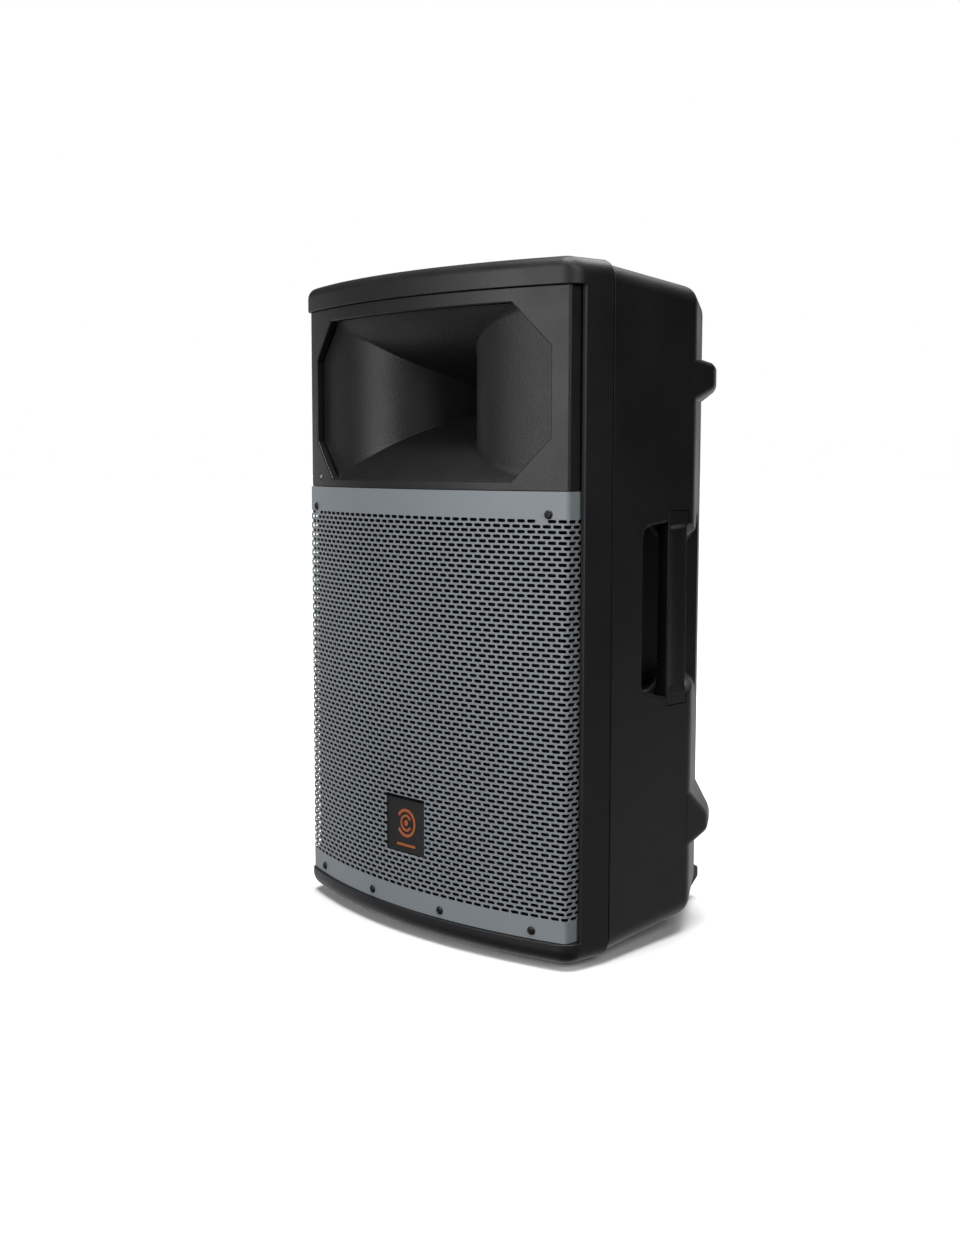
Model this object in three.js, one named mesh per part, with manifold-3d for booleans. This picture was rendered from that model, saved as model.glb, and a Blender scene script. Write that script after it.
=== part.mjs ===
// A two-way powered loudspeaker cabinet with a 15 inch woofer and a horn, in millimetres.
// The model group's frame has +Z up, the front facing -Y, and its origin on the floor under the
// middle. Inside it the pieces are placed in the cabinet frame: Y = 0 at the foremost line of the
// curved front panel and Z = 0 at the cabinet's underside, above the rubber feet.
import * as THREE from 'three';
import { mergeVertices } from 'three/addons/utils/BufferGeometryUtils.js';
import Module from 'manifold-3d';

const wasm = await Module();
wasm.setup();

// ---- driving dimensions ----
const HEIGHT = 690;            // cabinet, without its feet
const HALF_W = 216;            // at the seam, the widest place
const RAIL_HALF_W = 214.6;     // outer face of the side rails at the front
const REAR_Y = 330;            // flat rear face
const REAR_BUMP = 13;          // the rear feet stand out from it
const GAP = 0.3;               // between pieces that touch
const FOOT_H = 5;

const ARC_R = 626;             // plan radius of the curved front panel
const LIP_OUT = 4.6;           // the lips stand this far in front of the panel
const LIP_TOP_Z = 663;         // underside of the top lip
const LIP_LOW_Z = 22.5;        // upper face of the bottom lip
const LIP_CORNER_R = 22;
const LIP_TOP_R = 12;          // front edge of the top lip, seen from the side
const EDGE_R = 17;             // rounding of the outer edges
const RAIL_Y = 49;             // front edge of the side rails
const RAIL_IN = 209.6;         // inner face of the side rails
const SEAM_Y = 86;
const SEAM_GAP = 1;
const WALL = 5;

const BAFFLE_Y = 50;
const BAFFLE_T = 6;
const GROOVE_IN = 200;         // the flanges of grille and panel reach into this groove
const GROOVE_Y = 62;
const FLANGE_Y = 59;

const GRILLE_Z = [23.2, 467.4];
const GRILLE_OUT = 1.5;        // the grille stands this far in front of the horn panel
const GRILLE_T = 1.6;
const GRILLE_HALF_W = 207.4;
const BEND_R = 3.5;

const BADGE = { halfW: 29, z: [83.5, 140.5], y: [1, 2.6], window: [29.8, 82.8, 143.2] };

const PANEL_T = 3.5;
const PANEL_HALF_W = 206.8;
const COLLAR_D = 8;            // depth of the collar round the eight-sided opening
const OPENING = { z: 562.6, top: 85.9, side: 43.6, xTop: 144.4, xSide: 186.9 };

const HORN = { depth: 150, sideScale: 219, sideFade: 34, topScale: 231, topFade: 28, topEnd: 0.0464 };
const HORN_WALL = 4;
const HORN_FLANGE = [193, 91];

const WOOFER_Z = 232;
const WOOFER_R = 194;
const WOOFER_CUT_R = 181;
const CONE_R = 150;
const COIL_R = 38;
const PORT = { x: 150, z: 430, r: 21, y: [46.5, 130] };

const REAR_TILT = 0.12;        // the sides close in by this much per millimetre of depth
const CORNER = [200, 228];     // plan corner between the side and the angled rear face
const REAR_CORNER = [134.4, 315];

const HANDLE_Z = [251, 436];
const HANDLE_FRONT_Y = 139;
const HANDLE_IN = 160;         // inner wall of the handle pocket
const GRIP = { y: [182, 217], z: [245, 446], thick: 15, tab: 14 };

const AMP = { halfW: 105, z: [150, 540], y: [319, 322] };
const LEDGE = 13;              // width of the ledge that the amplifier panel rests on
const KNOB_Z = 500;
const SOCKET_Z = 450;
const POWER_Z = 190;

// ---- materials ----
function finish(color, roughness, metalness = 0) {
  return new THREE.MeshStandardMaterial({ color, roughness, metalness });
}
const looks = {
  shell: finish('#27272a', 0.55),
  horn: finish('#2b2b2d', 0.6),
  grille: finish('#7b8487', 0.5, 0.3),
  badge: finish('#3a3839', 0.5, 0.2),
  screw: finish('#151516', 0.4, 0.6),
  lens: finish('#cfd4d8', 0.15),
  grip: finish('#242426', 0.65),
  rubber: finish('#161617', 0.85),
  socket: finish('#1c1c1e', 0.5),
  steel: finish('#8d9094', 0.4, 0.8),
  paper: finish('#1b1b1c', 0.9),
  fabric: finish('#6c5a3c', 0.9),
  magnet: finish('#2a2a2c', 0.75),
  copper: finish('#a5673a', 0.4, 0.7),
  panel: finish('#1f2022', 0.5, 0.5),
  aluminium: finish('#2b2c2e', 0.45, 0.7),
  board: finish('#1d4a33', 0.6),
  knob: finish('#1a1a1b', 0.6),
};

// ---- geometry helpers ----
// merges shared vertices, drops collapsed triangles and turns the faces outwards
function welded(source) {
  const bare = source.index ? source.toNonIndexed() : source.clone();
  bare.deleteAttribute('normal');
  bare.deleteAttribute('uv');
  const merged = mergeVertices(bare, 1e-4);
  const p = merged.attributes.position.array;
  const index = merged.index.array;
  const kept = [];
  let volume = 0;
  for (let i = 0; i < index.length; i += 3) {
    const [a, b, c] = [index[i], index[i + 1], index[i + 2]];
    if (a === b || b === c || a === c) continue;
    kept.push(a, b, c);
    const va = new THREE.Vector3().fromArray(p, 3 * a);
    const vb = new THREE.Vector3().fromArray(p, 3 * b);
    const vc = new THREE.Vector3().fromArray(p, 3 * c);
    volume += va.dot(vb.cross(vc));
  }
  if (volume < 0) kept.reverse();
  merged.setIndex(kept);
  return merged;
}

function solid(source) {
  const g = welded(source);
  return new wasm.Manifold(new wasm.Mesh({
    numProp: 3,
    vertProperties: new Float32Array(g.attributes.position.array),
    triVerts: new Uint32Array(g.index.array),
  }));
}

function shapeOf(manifold) {
  const mesh = manifold.getMesh();
  const g = new THREE.BufferGeometry();
  g.setAttribute('position', new THREE.BufferAttribute(new Float32Array(mesh.vertProperties), 3));
  g.setIndex(Array.from(mesh.triVerts));
  return g;
}

// a flat outline pushed along an axis: (x, y) along z, (x, z) along y, (y, z) along x
function prism(points, axis, low, high) {
  const shape = new THREE.Shape(points.map(([a, b]) => new THREE.Vector2(a, b)));
  const g = new THREE.ExtrudeGeometry(shape, { depth: high - low, bevelEnabled: false });
  if (axis === 'z') g.translate(0, 0, low);
  if (axis === 'y') g.rotateX(Math.PI / 2).translate(0, high, 0);
  if (axis === 'x') g.applyMatrix4(new THREE.Matrix4().set(0, 0, 1, low, 1, 0, 0, 0, 0, 1, 0, 0, 0, 0, 0,
    1));
  return solid(g);
}

function box([x0, x1], [y0, y1], [z0, z1]) {
  const g = new THREE.BoxGeometry(x1 - x0, y1 - y0, z1 - z0);
  return solid(g.translate((x0 + x1) / 2, (y0 + y1) / 2, (z0 + z1) / 2));
}

// a round piece about the Y axis, from [radius, y] pairs
function turned(profile, x = 0, z = 0, sides = 24) {
  const points = profile.map(([r, y]) => new THREE.Vector2(r, y));
  return solid(new THREE.LatheGeometry(points, sides).translate(x, 0, z));
}

// a round piece about the Z axis, from [radius, z] pairs
function turnedUp(profile, x, y, sides = 24) {
  const points = profile.map(([r, z]) => new THREE.Vector2(r, z));
  return solid(new THREE.LatheGeometry(points, sides).rotateX(Math.PI / 2).translate(x, y, 0));
}

function rod(r, [y0, y1], x, z, sides = 16) {
  return turned([[0, y0], [r, y0], [r, y1], [0, y1]], x, z, sides);
}

// a skin through rings of equally many points, closed at both ends
function loft(rings) {
  const positions = [];
  const count = rings[0].length;
  const triangle = (a, b, c) => positions.push(...a, ...b, ...c);
  for (let r = 0; r + 1 < rings.length; r++) {
    for (let i = 0; i < count; i++) {
      const j = (i + 1) % count;
      triangle(rings[r][i], rings[r][j], rings[r + 1][j]);
      triangle(rings[r][i], rings[r + 1][j], rings[r + 1][i]);
    }
  }
  for (const [ring, first] of [[rings[0], true], [rings[rings.length - 1], false]]) {
    const middle = [0, 1, 2].map((k) => ring.reduce((sum, p) => sum + p[k], 0) / count);
    for (let i = 0; i < count; i++) {
      const j = (i + 1) % count;
      if (first) triangle(middle, ring[j], ring[i]);
      else triangle(middle, ring[i], ring[j]);
    }
  }
  const g = new THREE.BufferGeometry();
  g.setAttribute('position', new THREE.BufferAttribute(new Float32Array(positions), 3));
  return solid(g);
}

// a round-cornered rectangle that faces along Y
function roundedRing(y, halfW, z0, z1, r, steps = 4) {
  const ring = [];
  const corners = [[halfW - r, z1 - r, 0], [r - halfW, z1 - r, 1], [r - halfW, z0 + r, 2],
    [halfW - r, z0 + r, 3]];
  for (const [cx, cz, quarter] of corners) {
    for (let s = 0; s <= steps; s++) {
      const a = (quarter + s / steps) * Math.PI / 2;
      ring.push([cx + r * Math.cos(a), y, cz + r * Math.sin(a)]);
    }
  }
  return ring;
}

function arcPoints(cx, cy, r, from, to, steps) {
  const points = [];
  for (let s = 0; s <= steps; s++) {
    const a = from + (to - from) * s / steps;
    points.push([cx + r * Math.cos(a), cy + r * Math.sin(a)]);
  }
  return points;
}

// Y of the curved front at x, a distance behind the panel's outer face
function frontY(x, behind = 0) {
  return ARC_R - Math.sqrt((ARC_R - behind) ** 2 - x * x);
}

const mirrored = (points) => points.map(([x, y]) => [-x, y]).reverse();

// plan outline of a curved front with round corners and straight sides back to backY
function curvedFront(halfW, out, cornerR, backY, backHalfW = halfW, steps = 14) {
  const R = ARC_R + out;
  const cx = halfW - cornerR;
  const cy = ARC_R - Math.sqrt((R - cornerR) ** 2 - cx * cx);
  const meet = Math.atan2(cy - ARC_R, cx);
  const right = arcPoints(cx, cy, cornerR, meet, 0, 4);
  const front = arcPoints(0, ARC_R, R, -Math.PI - meet, meet, steps).slice(1, -1);
  const side = [...right, [backHalfW, backY]];
  return [...mirrored(side), ...front, ...side];
}

// a curved sheet with its sides bent back, as a plan outline
function bentSheet(halfW, out, thick, backY) {
  const outer = curvedFront(halfW, out, BEND_R, backY);
  const inner = curvedFront(halfW - thick, out - thick, BEND_R - thick, backY);
  return [...outer, ...inner.reverse()];
}

// plan outline between two depths behind the curved front
function arcSlab(halfW, near, far, steps = 16) {
  const line = (behind) => Array.from({ length: steps + 1 }, (_, i) => {
    const x = halfW * (2 * i / steps - 1);
    return [x, frontY(x, behind)];
  });
  return [...line(near), ...line(far).reverse()];
}

function octagon(grow = 0) {
  const { z, top, side, xTop, xSide } = OPENING;
  const [t, s, xt, xs] = [top + grow, side + grow * 0.41, xTop + grow * 0.41, xSide + grow];
  return [[xs, z - s], [xs, z + s], [xt, z + t], [-xt, z + t], [-xs, z + s], [-xs, z - s], [-xt, z - t],
    [xt, z - t]];
}

// ---- fixing points ----
const grilleScrews = [[-186.5, 445.2], [186.5, 445.2], [-170.5, 31.5], [-55.8, 31.5], [55.8, 31.5],
  [170.5, 31.5]];
const panelScrews = [[-98.5, 156.5], [98.5, 156.5], [-98.5, 533.5], [98.5, 533.5]];
const POST_R = 5.5;
const GRILLE_SCREW = { r: 4.4, h: 2.2, shank: 1.7, length: 18 };

// ---- front housing ----
function frontShell() {
  const outline = curvedFront(RAIL_HALF_W, LIP_OUT, LIP_CORNER_R, SEAM_Y, HALF_W, 20);
  const sideView = [
    [SEAM_Y, 0], [SEAM_Y, HEIGHT],
    ...arcPoints(LIP_TOP_R - LIP_OUT, HEIGHT - LIP_TOP_R, LIP_TOP_R, Math.PI / 2, Math.PI, 3),
    ...arcPoints(EDGE_R - LIP_OUT, EDGE_R, EDGE_R, Math.PI, Math.PI * 1.5, 4),
  ];
  const ends = [roundedRing(-20, HALF_W, 0, HEIGHT, EDGE_R),
    roundedRing(SEAM_Y, HALF_W, 0, HEIGHT, EDGE_R)];
  let body = prism(outline, 'z', 0, HEIGHT).intersect(prism(sideView, 'x', -250, 250));
  body = body.intersect(loft(ends));
  // the space in front of the baffle, between the lips
  body = body.subtract(box([-250, 250], [-30, RAIL_Y], [LIP_LOW_Z, LIP_TOP_Z]));
  body = body.subtract(box([-RAIL_IN, RAIL_IN], [-30, BAFFLE_Y], [LIP_LOW_Z, LIP_TOP_Z]));
  for (const side of [-1, 1]) {
    const groove = [GROOVE_IN * side, RAIL_IN * side].sort((a, b) => a - b);
    body = body.subtract(box(groove, [-30, GROOVE_Y], [LIP_LOW_Z, LIP_TOP_Z]));
  }
  // hollow behind the baffle, and inside both lips
  const backW = HALF_W - WALL;
  const [thick, thin] = [GROOVE_Y + 4, BAFFLE_Y + BAFFLE_T];
  const middle = [[-backW, thick], [-196, thick], [-190, thin], [190, thin], [196, thick],
    [backW, thick], [backW, SEAM_Y + 10], [-backW, SEAM_Y + 10]];
  body = body.subtract(prism(middle, 'z', LIP_LOW_Z, LIP_TOP_Z));
  const lipHollow = curvedFront(RAIL_HALF_W - WALL, LIP_OUT - WALL, LIP_CORNER_R - WALL, SEAM_Y + 10,
    backW, 12);
  const hollowEnds = [-20, SEAM_Y + 10].map((y) => roundedRing(y, backW, WALL, HEIGHT - WALL,
    EDGE_R - WALL, 3));
  const hollow = loft(hollowEnds);
  const behindRim = [[SEAM_Y + 10, WALL], [SEAM_Y + 10, HEIGHT - WALL], [8, HEIGHT - WALL],
    [2, HEIGHT - 14], [2, 14], [9, WALL]];
  const lowLip = prism(lipHollow, 'z', 0, LIP_LOW_Z - 4.5);
  const lips = lowLip.add(prism(lipHollow, 'z', LIP_TOP_Z + 4.5, HEIGHT));
  body = body.subtract(lips.intersect(hollow).intersect(prism(behindRim, 'x', -250, 250)));
  // join the lips' hollows to the space behind the baffle
  body = body.subtract(box([-backW, backW], [70, SEAM_Y + 10], [LIP_LOW_Z - 4.6, LIP_TOP_Z + 4.6]));
  // openings of the baffle
  const cutY = [BAFFLE_Y - 5, 80];
  body = body.subtract(rod(WOOFER_CUT_R, cutY, 0, WOOFER_Z, 48));
  body = body.subtract(box([-82, 82], cutY, [OPENING.z - 62, OPENING.z + 62]));
  for (const side of [-1, 1]) {
    body = body.subtract(rod(PORT.r + 3.1, cutY, side * PORT.x, PORT.z, 24));
    for (const dz of [-78, 78]) {
      const x = side * 176;
      const front = frontY(Math.abs(x) + 6, COLLAR_D + GAP + HORN_WALL + GAP);
      body = body.add(box([x - 6, x + 6], [front, BAFFLE_Y + 1], [OPENING.z + dz - 6, OPENING.z + dz + 6]));
    }
  }
  // posts that the grille is screwed to
  for (const [x, z] of grilleScrews) {
    const front = frontY(Math.abs(x) + POST_R, GRILLE_T - GRILLE_OUT + GAP);
    body = body.add(rod(POST_R, [front, BAFFLE_Y + 1], x, z, 12)).subtract(screwHole(x, z, 2.1, 22));
  }
  return body;
}

function screwHole(x, z, r, depth) {
  return ontoFront(turned([[0, -8], [r, -8], [r, depth], [0, depth]], 0, 0, 10), x, z);
}

// moves a piece made about the Y axis onto the curved front at (x, z), square to it
function ontoFront(piece, x, z) {
  const turn = Math.asin(x / ARC_R) * 180 / Math.PI;
  return piece.rotate([0, 0, turn]).translate([x, frontY(x), z]);
}

// ---- grille, horn panel and what they carry ----
function grille() {
  let sheet = prism(bentSheet(GRILLE_HALF_W, GRILLE_OUT, GRILLE_T, FLANGE_Y), 'z', ...GRILLE_Z);
  for (const [x, z] of grilleScrews) sheet = sheet.subtract(screwHole(x, z, 2.1, 12));
  const [halfW, low, high] = BADGE.window;
  return sheet.subtract(box([-halfW, halfW], [-10, 20], [low, high]));
}

function grilleScrew(x, z) {
  const { r, h, shank, length } = GRILLE_SCREW;
  const seat = -GRILLE_OUT - GAP;
  const profile = [[0, seat - h], [0.6 * r, seat - 0.9 * h], [r, seat - 0.3 * h], [r, seat], [shank, seat],
    [shank, seat + length], [0, seat + length]];
  return ontoFront(turned(profile, 0, 0, 10), x, z);
}

const badgePlate = () => box([-BADGE.halfW, BADGE.halfW], BADGE.y, BADGE.z);

const LAMP = { x: -176, z: 478.5, r: 2.4 };
function hornPanel() {
  let panel = prism(bentSheet(PANEL_HALF_W, 0, PANEL_T, FLANGE_Y), 'z', GRILLE_Z[1] + GAP, LIP_TOP_Z - GAP);
  const collar = arcSlab(198, PANEL_T - 0.5, COLLAR_D);
  panel = panel.add(prism(collar, 'z', 468, 662).intersect(prism(octagon(4), 'y', -10, 60)));
  panel = panel.subtract(prism(octagon(), 'y', -10, 80));
  return panel.subtract(screwHole(LAMP.x, LAMP.z, LAMP.r + GAP, 12));
}

function powerLamp() {
  const r = LAMP.r;
  const lens = turned([[0, -1.2], [r * 0.6, -0.9], [r, -0.1], [r, 5], [0, 5]], 0, 0, 12);
  return ontoFront(lens, LAMP.x, LAMP.z);
}

// half width and half height of the horn's passage at a depth behind the front panel
function hornSize(depth) {
  const d = Math.max(depth - COLLAR_D, 0.6);
  const w = Math.min(HORN.sideFade * Math.log(HORN.sideScale / d), 189);
  const h = Math.min(-HORN.topFade * Math.log(HORN.topEnd + d / HORN.topScale), 87.5);
  return [w, h];
}

function hornRing([w, h], behind) {
  const across = [-1, -2 / 3, -1 / 3, 0, 1 / 3, 2 / 3, 1];
  const line = (dz) => across.map((t) => [t * w, frontY(t * w) + behind, OPENING.z + dz]);
  return [...line(h), ...line(-h).reverse()];
}

function hornFlare() {
  const depths = [8.6, 9.6, 12, 17, 26, 40, 60, 90, HORN.depth];
  const air = [hornRing(hornSize(8), -20), ...depths.map((d) => hornRing(hornSize(d), d))];
  air.push(hornRing(hornSize(HORN.depth), HORN.depth + 12));
  const skin = [hornRing(HORN_FLANGE, COLLAR_D + GAP), hornRing(HORN_FLANGE, COLLAR_D + GAP + HORN_WALL)];
  for (const d of depths.slice(1)) {
    const [w, h] = hornSize(d);
    skin.push(hornRing([w + HORN_WALL, h + HORN_WALL], d + HORN_WALL));
  }
  const seat = box([-40, 40], [HORN.depth - 2, HORN.depth + 4], [OPENING.z - 40, OPENING.z + 40]);
  return loft(skin).add(seat).subtract(loft(air));
}

// ---- rear housing ----
const rearStations = [
  [SEAM_Y + SEAM_GAP, HALF_W, 3, HEIGHT - 3, 19],
  [CORNER[1] - 6, CORNER[0] + 0.4, 12, 677, 20],
  [CORNER[1] + 6, CORNER[0] - 5, 13, 676, 20],
  [REAR_CORNER[1] - 8, REAR_CORNER[0] + 6, 18, 671, 18],
  [REAR_CORNER[1] + 7, REAR_CORNER[0] - 8, 24, 664, 16],
  [REAR_Y, REAR_CORNER[0] - 18, 36, 652, 12],
];

// a corner foot between the side and the angled rear face
function cornerFoot(side, [z0, z1], [tip0, tip1]) {
  const along = [REAR_CORNER[0] - CORNER[0], REAR_CORNER[1] - CORNER[1]];
  const length = Math.hypot(...along);
  const [tx, ty] = along.map((v) => v / length);
  const at = (s, n, z) => [side * (CORNER[0] + s * tx + n * ty), CORNER[1] + s * ty - n * tx, z];
  const quad = (s0, s1, n, low, high) => [at(s0, n, low), at(s1, n, low), at(s1, n, high), at(s0, n, high)];
  const [lean, out, inset] = [29.5, 17.3, 5];
  const start = -inset * lean / out;
  return loft([quad(start, 92, -inset, z0, z1), quad(lean, lean + 42, out, tip0, tip1)]);
}

function rearFoot(side) {
  const quad = (x0, x1, y, z0, z1) => [[side * x0, y, z0], [side * x1, y, z0], [side * x1, y, z1],
    [side * x0, y, z1]];
  return loft([quad(90, 126, 312, 4, 44), quad(98, 117, REAR_Y + REAR_BUMP, 19, 31)]);
}

// the space of a handle pocket: a plan outline cut to its side view
function handleSpace(side, grow = 0) {
  const [z0, z1] = HANDLE_Z;
  const inner = HANDLE_IN - grow;
  const front = HANDLE_FRONT_Y - grow;
  const plan = [[front, 240], [front, inner + 14], [front + 4, inner + 5], [front + 14, inner],
    [300, inner], [300, 240]];
  const outline = plan.map(([y, x]) => [side * x, y]);
  const view = [[front, z0 + 28 - grow], [front + 2, z0 + 18 - grow], [front + 10, z0 + 12 - grow],
    [181, z0 - grow],
    [300, z0 - grow], [300, z1 + grow], [181, z1 + grow], [front + 10, z1 - 6 + grow],
    [front + 2, z1 - 10 + grow],
    [front, z1 - 20 + grow]];
  return prism(outline, 'z', z0 - 20, z1 + 20).intersect(prism(view, 'x', -250, 250));
}

function gripOutline(grow) {
  const [y0, y1] = GRIP.y;
  const sideX = (y) => HALF_W + 1 - REAR_TILT * (y - SEAM_Y);
  const inner = sideX(y1) - GRIP.thick - grow;
  return [[sideX(y0 - grow) + 2 * grow, y0 - grow], [sideX(y1 - 9) + 2 * grow, y1 - 9],
    [sideX(y1) - 3 + grow, y1 + grow],
    [inner + 4, y1 + grow], [inner, y1 - 5], [inner, y0 + 3], [inner + 3, y0 - grow]];
}

function rearCabinet() {
  const ring = ([y, w, z0, z1, r]) => roundedRing(y, w, z0, z1, r);
  let body = loft(rearStations.map(ring));
  for (const side of [-1, 1]) {
    body = body.add(cornerFoot(side, [556, 604], [572, 598])).add(cornerFoot(side, [86, 155], [100, 118]));
    body = body.add(rearFoot(side));
    body = body.add(turnedUp([[0, 0.3], [15, 0.3], [15, 20], [0, 20]], side * REAR_FOOT[0], REAR_FOOT[1],
      16));
  }
  body = body.add(turnedUp([[0, 3], [40, 3], [40, 20], [0, 20]], 0, POLE_Y, 24));
  const inner = rearStations.map(([y, w, z0, z1, r], i) => {
    const back = i === 0 ? -4 : 0.6 * WALL * (i > 2) + (i > 4 ? 2 : 0);
    return roundedRing(y - back, w - WALL, z0 + WALL, z1 - WALL, r - WALL + 1);
  });
  inner[0] = inner[0].map(([x, y, z]) => [x, SEAM_Y - 4, z]);
  let hollow = loft(inner);
  const [a0, a1] = AMP.z;
  const frame = box([-AMP.halfW - 6, AMP.halfW + 6], [AMP.y[0] - 6, 340], [a0 - 6, a1 + 6]);
  hollow = hollow.subtract(frame);
  for (const side of [-1, 1]) hollow = hollow.subtract(handleSpace(side, 4)).subtract(gripSeat(side, 4));
  body = body.subtract(hollow);
  for (const side of [-1, 1]) body = body.subtract(handleSpace(side)).subtract(gripSeat(side, GAP));
  const w = AMP.halfW + 0.6;
  body = body.subtract(box([-w, w], [AMP.y[0] - GAP, 360], [a0 - 0.6, a1 + 0.6]));
  const open = AMP.halfW - LEDGE;
  body = body.subtract(box([-open, open], [AMP.y[0] - 20, 360], [a0 + LEDGE, a1 - LEDGE]));
  for (const [x, z] of panelScrews) body = body.subtract(rod(2.1, [AMP.y[0] - 4, 330], x, z, 8));
  return body.subtract(turnedUp([[0, -5], [24, -5], [24, 40], [0, 40]], 0, POLE_Y, 24));
}

function gripSeat(side, grow) {
  const [z0, z1] = GRIP.z;
  const outline = gripOutline(grow).map(([x, y], i) => [side * (i < 3 ? x + 20 : x), y]);
  return prism(outline, 'z', z0 - grow, z1 + grow);
}

function handleGrip(side) {
  const outline = gripOutline(0).map(([x, y]) => [side * x, y]);
  const [z0, z1] = GRIP.z;
  const bar = prism(outline, 'z', z0, z1);
  // the bar is thinner between its end tabs
  const [y0, y1] = GRIP.y;
  const dip = [[150, z0 + GRIP.tab], [150, z1 - GRIP.tab], [y0 + 4, z1 - GRIP.tab],
    [y0 + 9, z1 - GRIP.tab - 16],
    [y0 + 9, z0 + GRIP.tab + 16], [y0 + 4, z0 + GRIP.tab]];
  const far = HALF_W + 1 - REAR_TILT * (y1 - SEAM_Y) - GRIP.thick - 1;
  const reach = [side * far, side * (far + 7)].sort((a, b) => a - b);
  return bar.subtract(prism(dip, 'x', ...reach));
}

// ---- what the cabinet stands on and is mounted by ----
const FRONT_FOOT = [150, 62];
const REAR_FOOT = [140, 205];
const POLE_Y = 165;
function rubberFoot(x, y) {
  const top = -GAP;
  return turnedUp([[0, top], [12, top], [11, -FOOT_H], [0, -FOOT_H]], x, y, 20);
}

function poleSocket() {
  const profile = [[23.5, 3 - GAP], [23.5, 92], [0, 92], [0, 88], [17.8, 88], [17.8, -0.4], [38, -0.4],
    [38, 3 - GAP], [23.5, 3 - GAP]];
  return turnedUp(profile, 0, POLE_Y, 24);
}

function portTube(side) {
  const { r, y: [y0, y1] } = PORT;
  const profile = [[r + 2.5, BAFFLE_Y - GAP], [r + 2.5, y1], [r, y1], [r, y0 + 6], [r + 3, y0],
    [r + 8, y0], [r + 8, BAFFLE_Y - GAP],
    [r + 2.5, BAFFLE_Y - GAP]];
  return turned(profile, side * PORT.x, PORT.z, 20);
}

// ---- woofer, front to back ----
const SEGMENTS = 24;
const wooferPiece = (profile) => turned(profile, 0, WOOFER_Z, SEGMENTS);
const MAGNET_Y = 156;          // front face of the magnet's top plate
function wooferBasket() {
  const front = BAFFLE_Y - 8;
  const seat = BAFFLE_Y - GAP;
  const profile = [[WOOFER_R, front], [WOOFER_R, seat], [179, seat], [179, seat + 8], [96, 150],
    [82, MAGNET_Y - GAP],
    [42, MAGNET_Y - GAP], [42, 151], [80, 151], [92, 146], [174, front + 14], [174, front],
    [WOOFER_R, front]];
  let basket = wooferPiece(profile);
  const windows = 6;
  for (let i = 0; i < windows; i++) {
    const a = (i + 0.5) * 2 * Math.PI / windows;
    const half = Math.PI / windows - 0.16;
    const wedge = [[60, -half], [220, -half], [220, half], [60, half]].map(([r, t]) => {
      return [r * Math.cos(a + t), WOOFER_Z + r * Math.sin(a + t)];
    });
    basket = basket.subtract(prism(wedge, 'y', 68, 140));
  }
  return basket;
}

function wooferSurround() {
  const y = BAFFLE_Y - 4;
  const [inside, outside, middle, thick] = [CONE_R + GAP, 173.6, 162, 1.3];
  const over = arcPoints(middle, y, 9.6, 0, -Math.PI, 4);
  const under = arcPoints(middle, y, 9.6 - thick, -Math.PI, 0, 4);
  return wooferPiece([[outside, y], ...over, [inside, y], [inside, y + thick], ...under,
    [outside, y + thick], [outside, y]]);
}

function wooferCone() {
  const y = BAFFLE_Y - 4;
  return wooferPiece([[CONE_R, y], [CONE_R, y + 1.4], [148, y + 2], [COIL_R + 4, 108], [COIL_R + 3, 108],
    [COIL_R + 3, 106], [146, y],
    [CONE_R, y]]);
}

function wooferDustCap() {
  const dome = [[0, 82], [18, 83.5], [34, 88], [46, 95], [52, 101.3]];
  const under = [[51.5, 101.9], [45, 96.5], [33, 89.6], [17, 85], [0, 83.6]];
  return wooferPiece([...dome, ...under].map(([r, y]) => [r, y - 2.2]));
}

function wooferVoiceCoil() {
  return wooferPiece([[COIL_R, 106], [COIL_R, 168], [COIL_R - 1.6, 168], [COIL_R - 1.6, 106],
    [COIL_R, 106]]);
}

function wooferSpider() {
  const profile = [[COIL_R + GAP, 124], [52, 121], [64, 127], [76, 121], [90, 124]];
  return wooferPiece([...profile, ...profile.map(([r, y]) => [r, y + 1]).reverse(), profile[0]]);
}

const ring = (r0, r1, y0, y1) => wooferPiece([[r0, y0], [r1, y0], [r1, y1], [r0, y1], [r0, y0]]);
const wooferTopPlate = () => ring(COIL_R + 1.2, 78, MAGNET_Y, MAGNET_Y + 8);
const wooferMagnet = () => ring(46, 90, MAGNET_Y + 8 + GAP, MAGNET_Y + 30);
function wooferBackPlate() {
  const y = MAGNET_Y + 30 + GAP;
  return wooferPiece([[0, MAGNET_Y], [35, MAGNET_Y], [35, y], [78, y], [78, y + 8], [0, y + 8]]);
}

// ---- compression driver on the horn's throat ----
const driverPiece = (profile) => turned(profile, 0, OPENING.z, SEGMENTS - 4);
const DRIVER_Y = HORN.depth + 4 + GAP;
const driverFrontPlate = () => driverPiece([[12.7, DRIVER_Y], [46, DRIVER_Y], [46, DRIVER_Y + 9],
  [12.7, DRIVER_Y + 9],
  [12.7, DRIVER_Y]]);
const driverMagnet = () => driverPiece([[24, DRIVER_Y + 9 + GAP], [60, DRIVER_Y + 9 + GAP],
  [60, DRIVER_Y + 28], [24, DRIVER_Y + 28],
  [24, DRIVER_Y + 9 + GAP]]);
function driverCap() {
  const y = DRIVER_Y + 28 + GAP;
  return driverPiece([[50, y], [50, y + 10], [40, y + 20], [0, y + 22], [0, y + 20], [38, y + 18],
    [47, y + 9], [47, y], [50, y]]);
}

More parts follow.
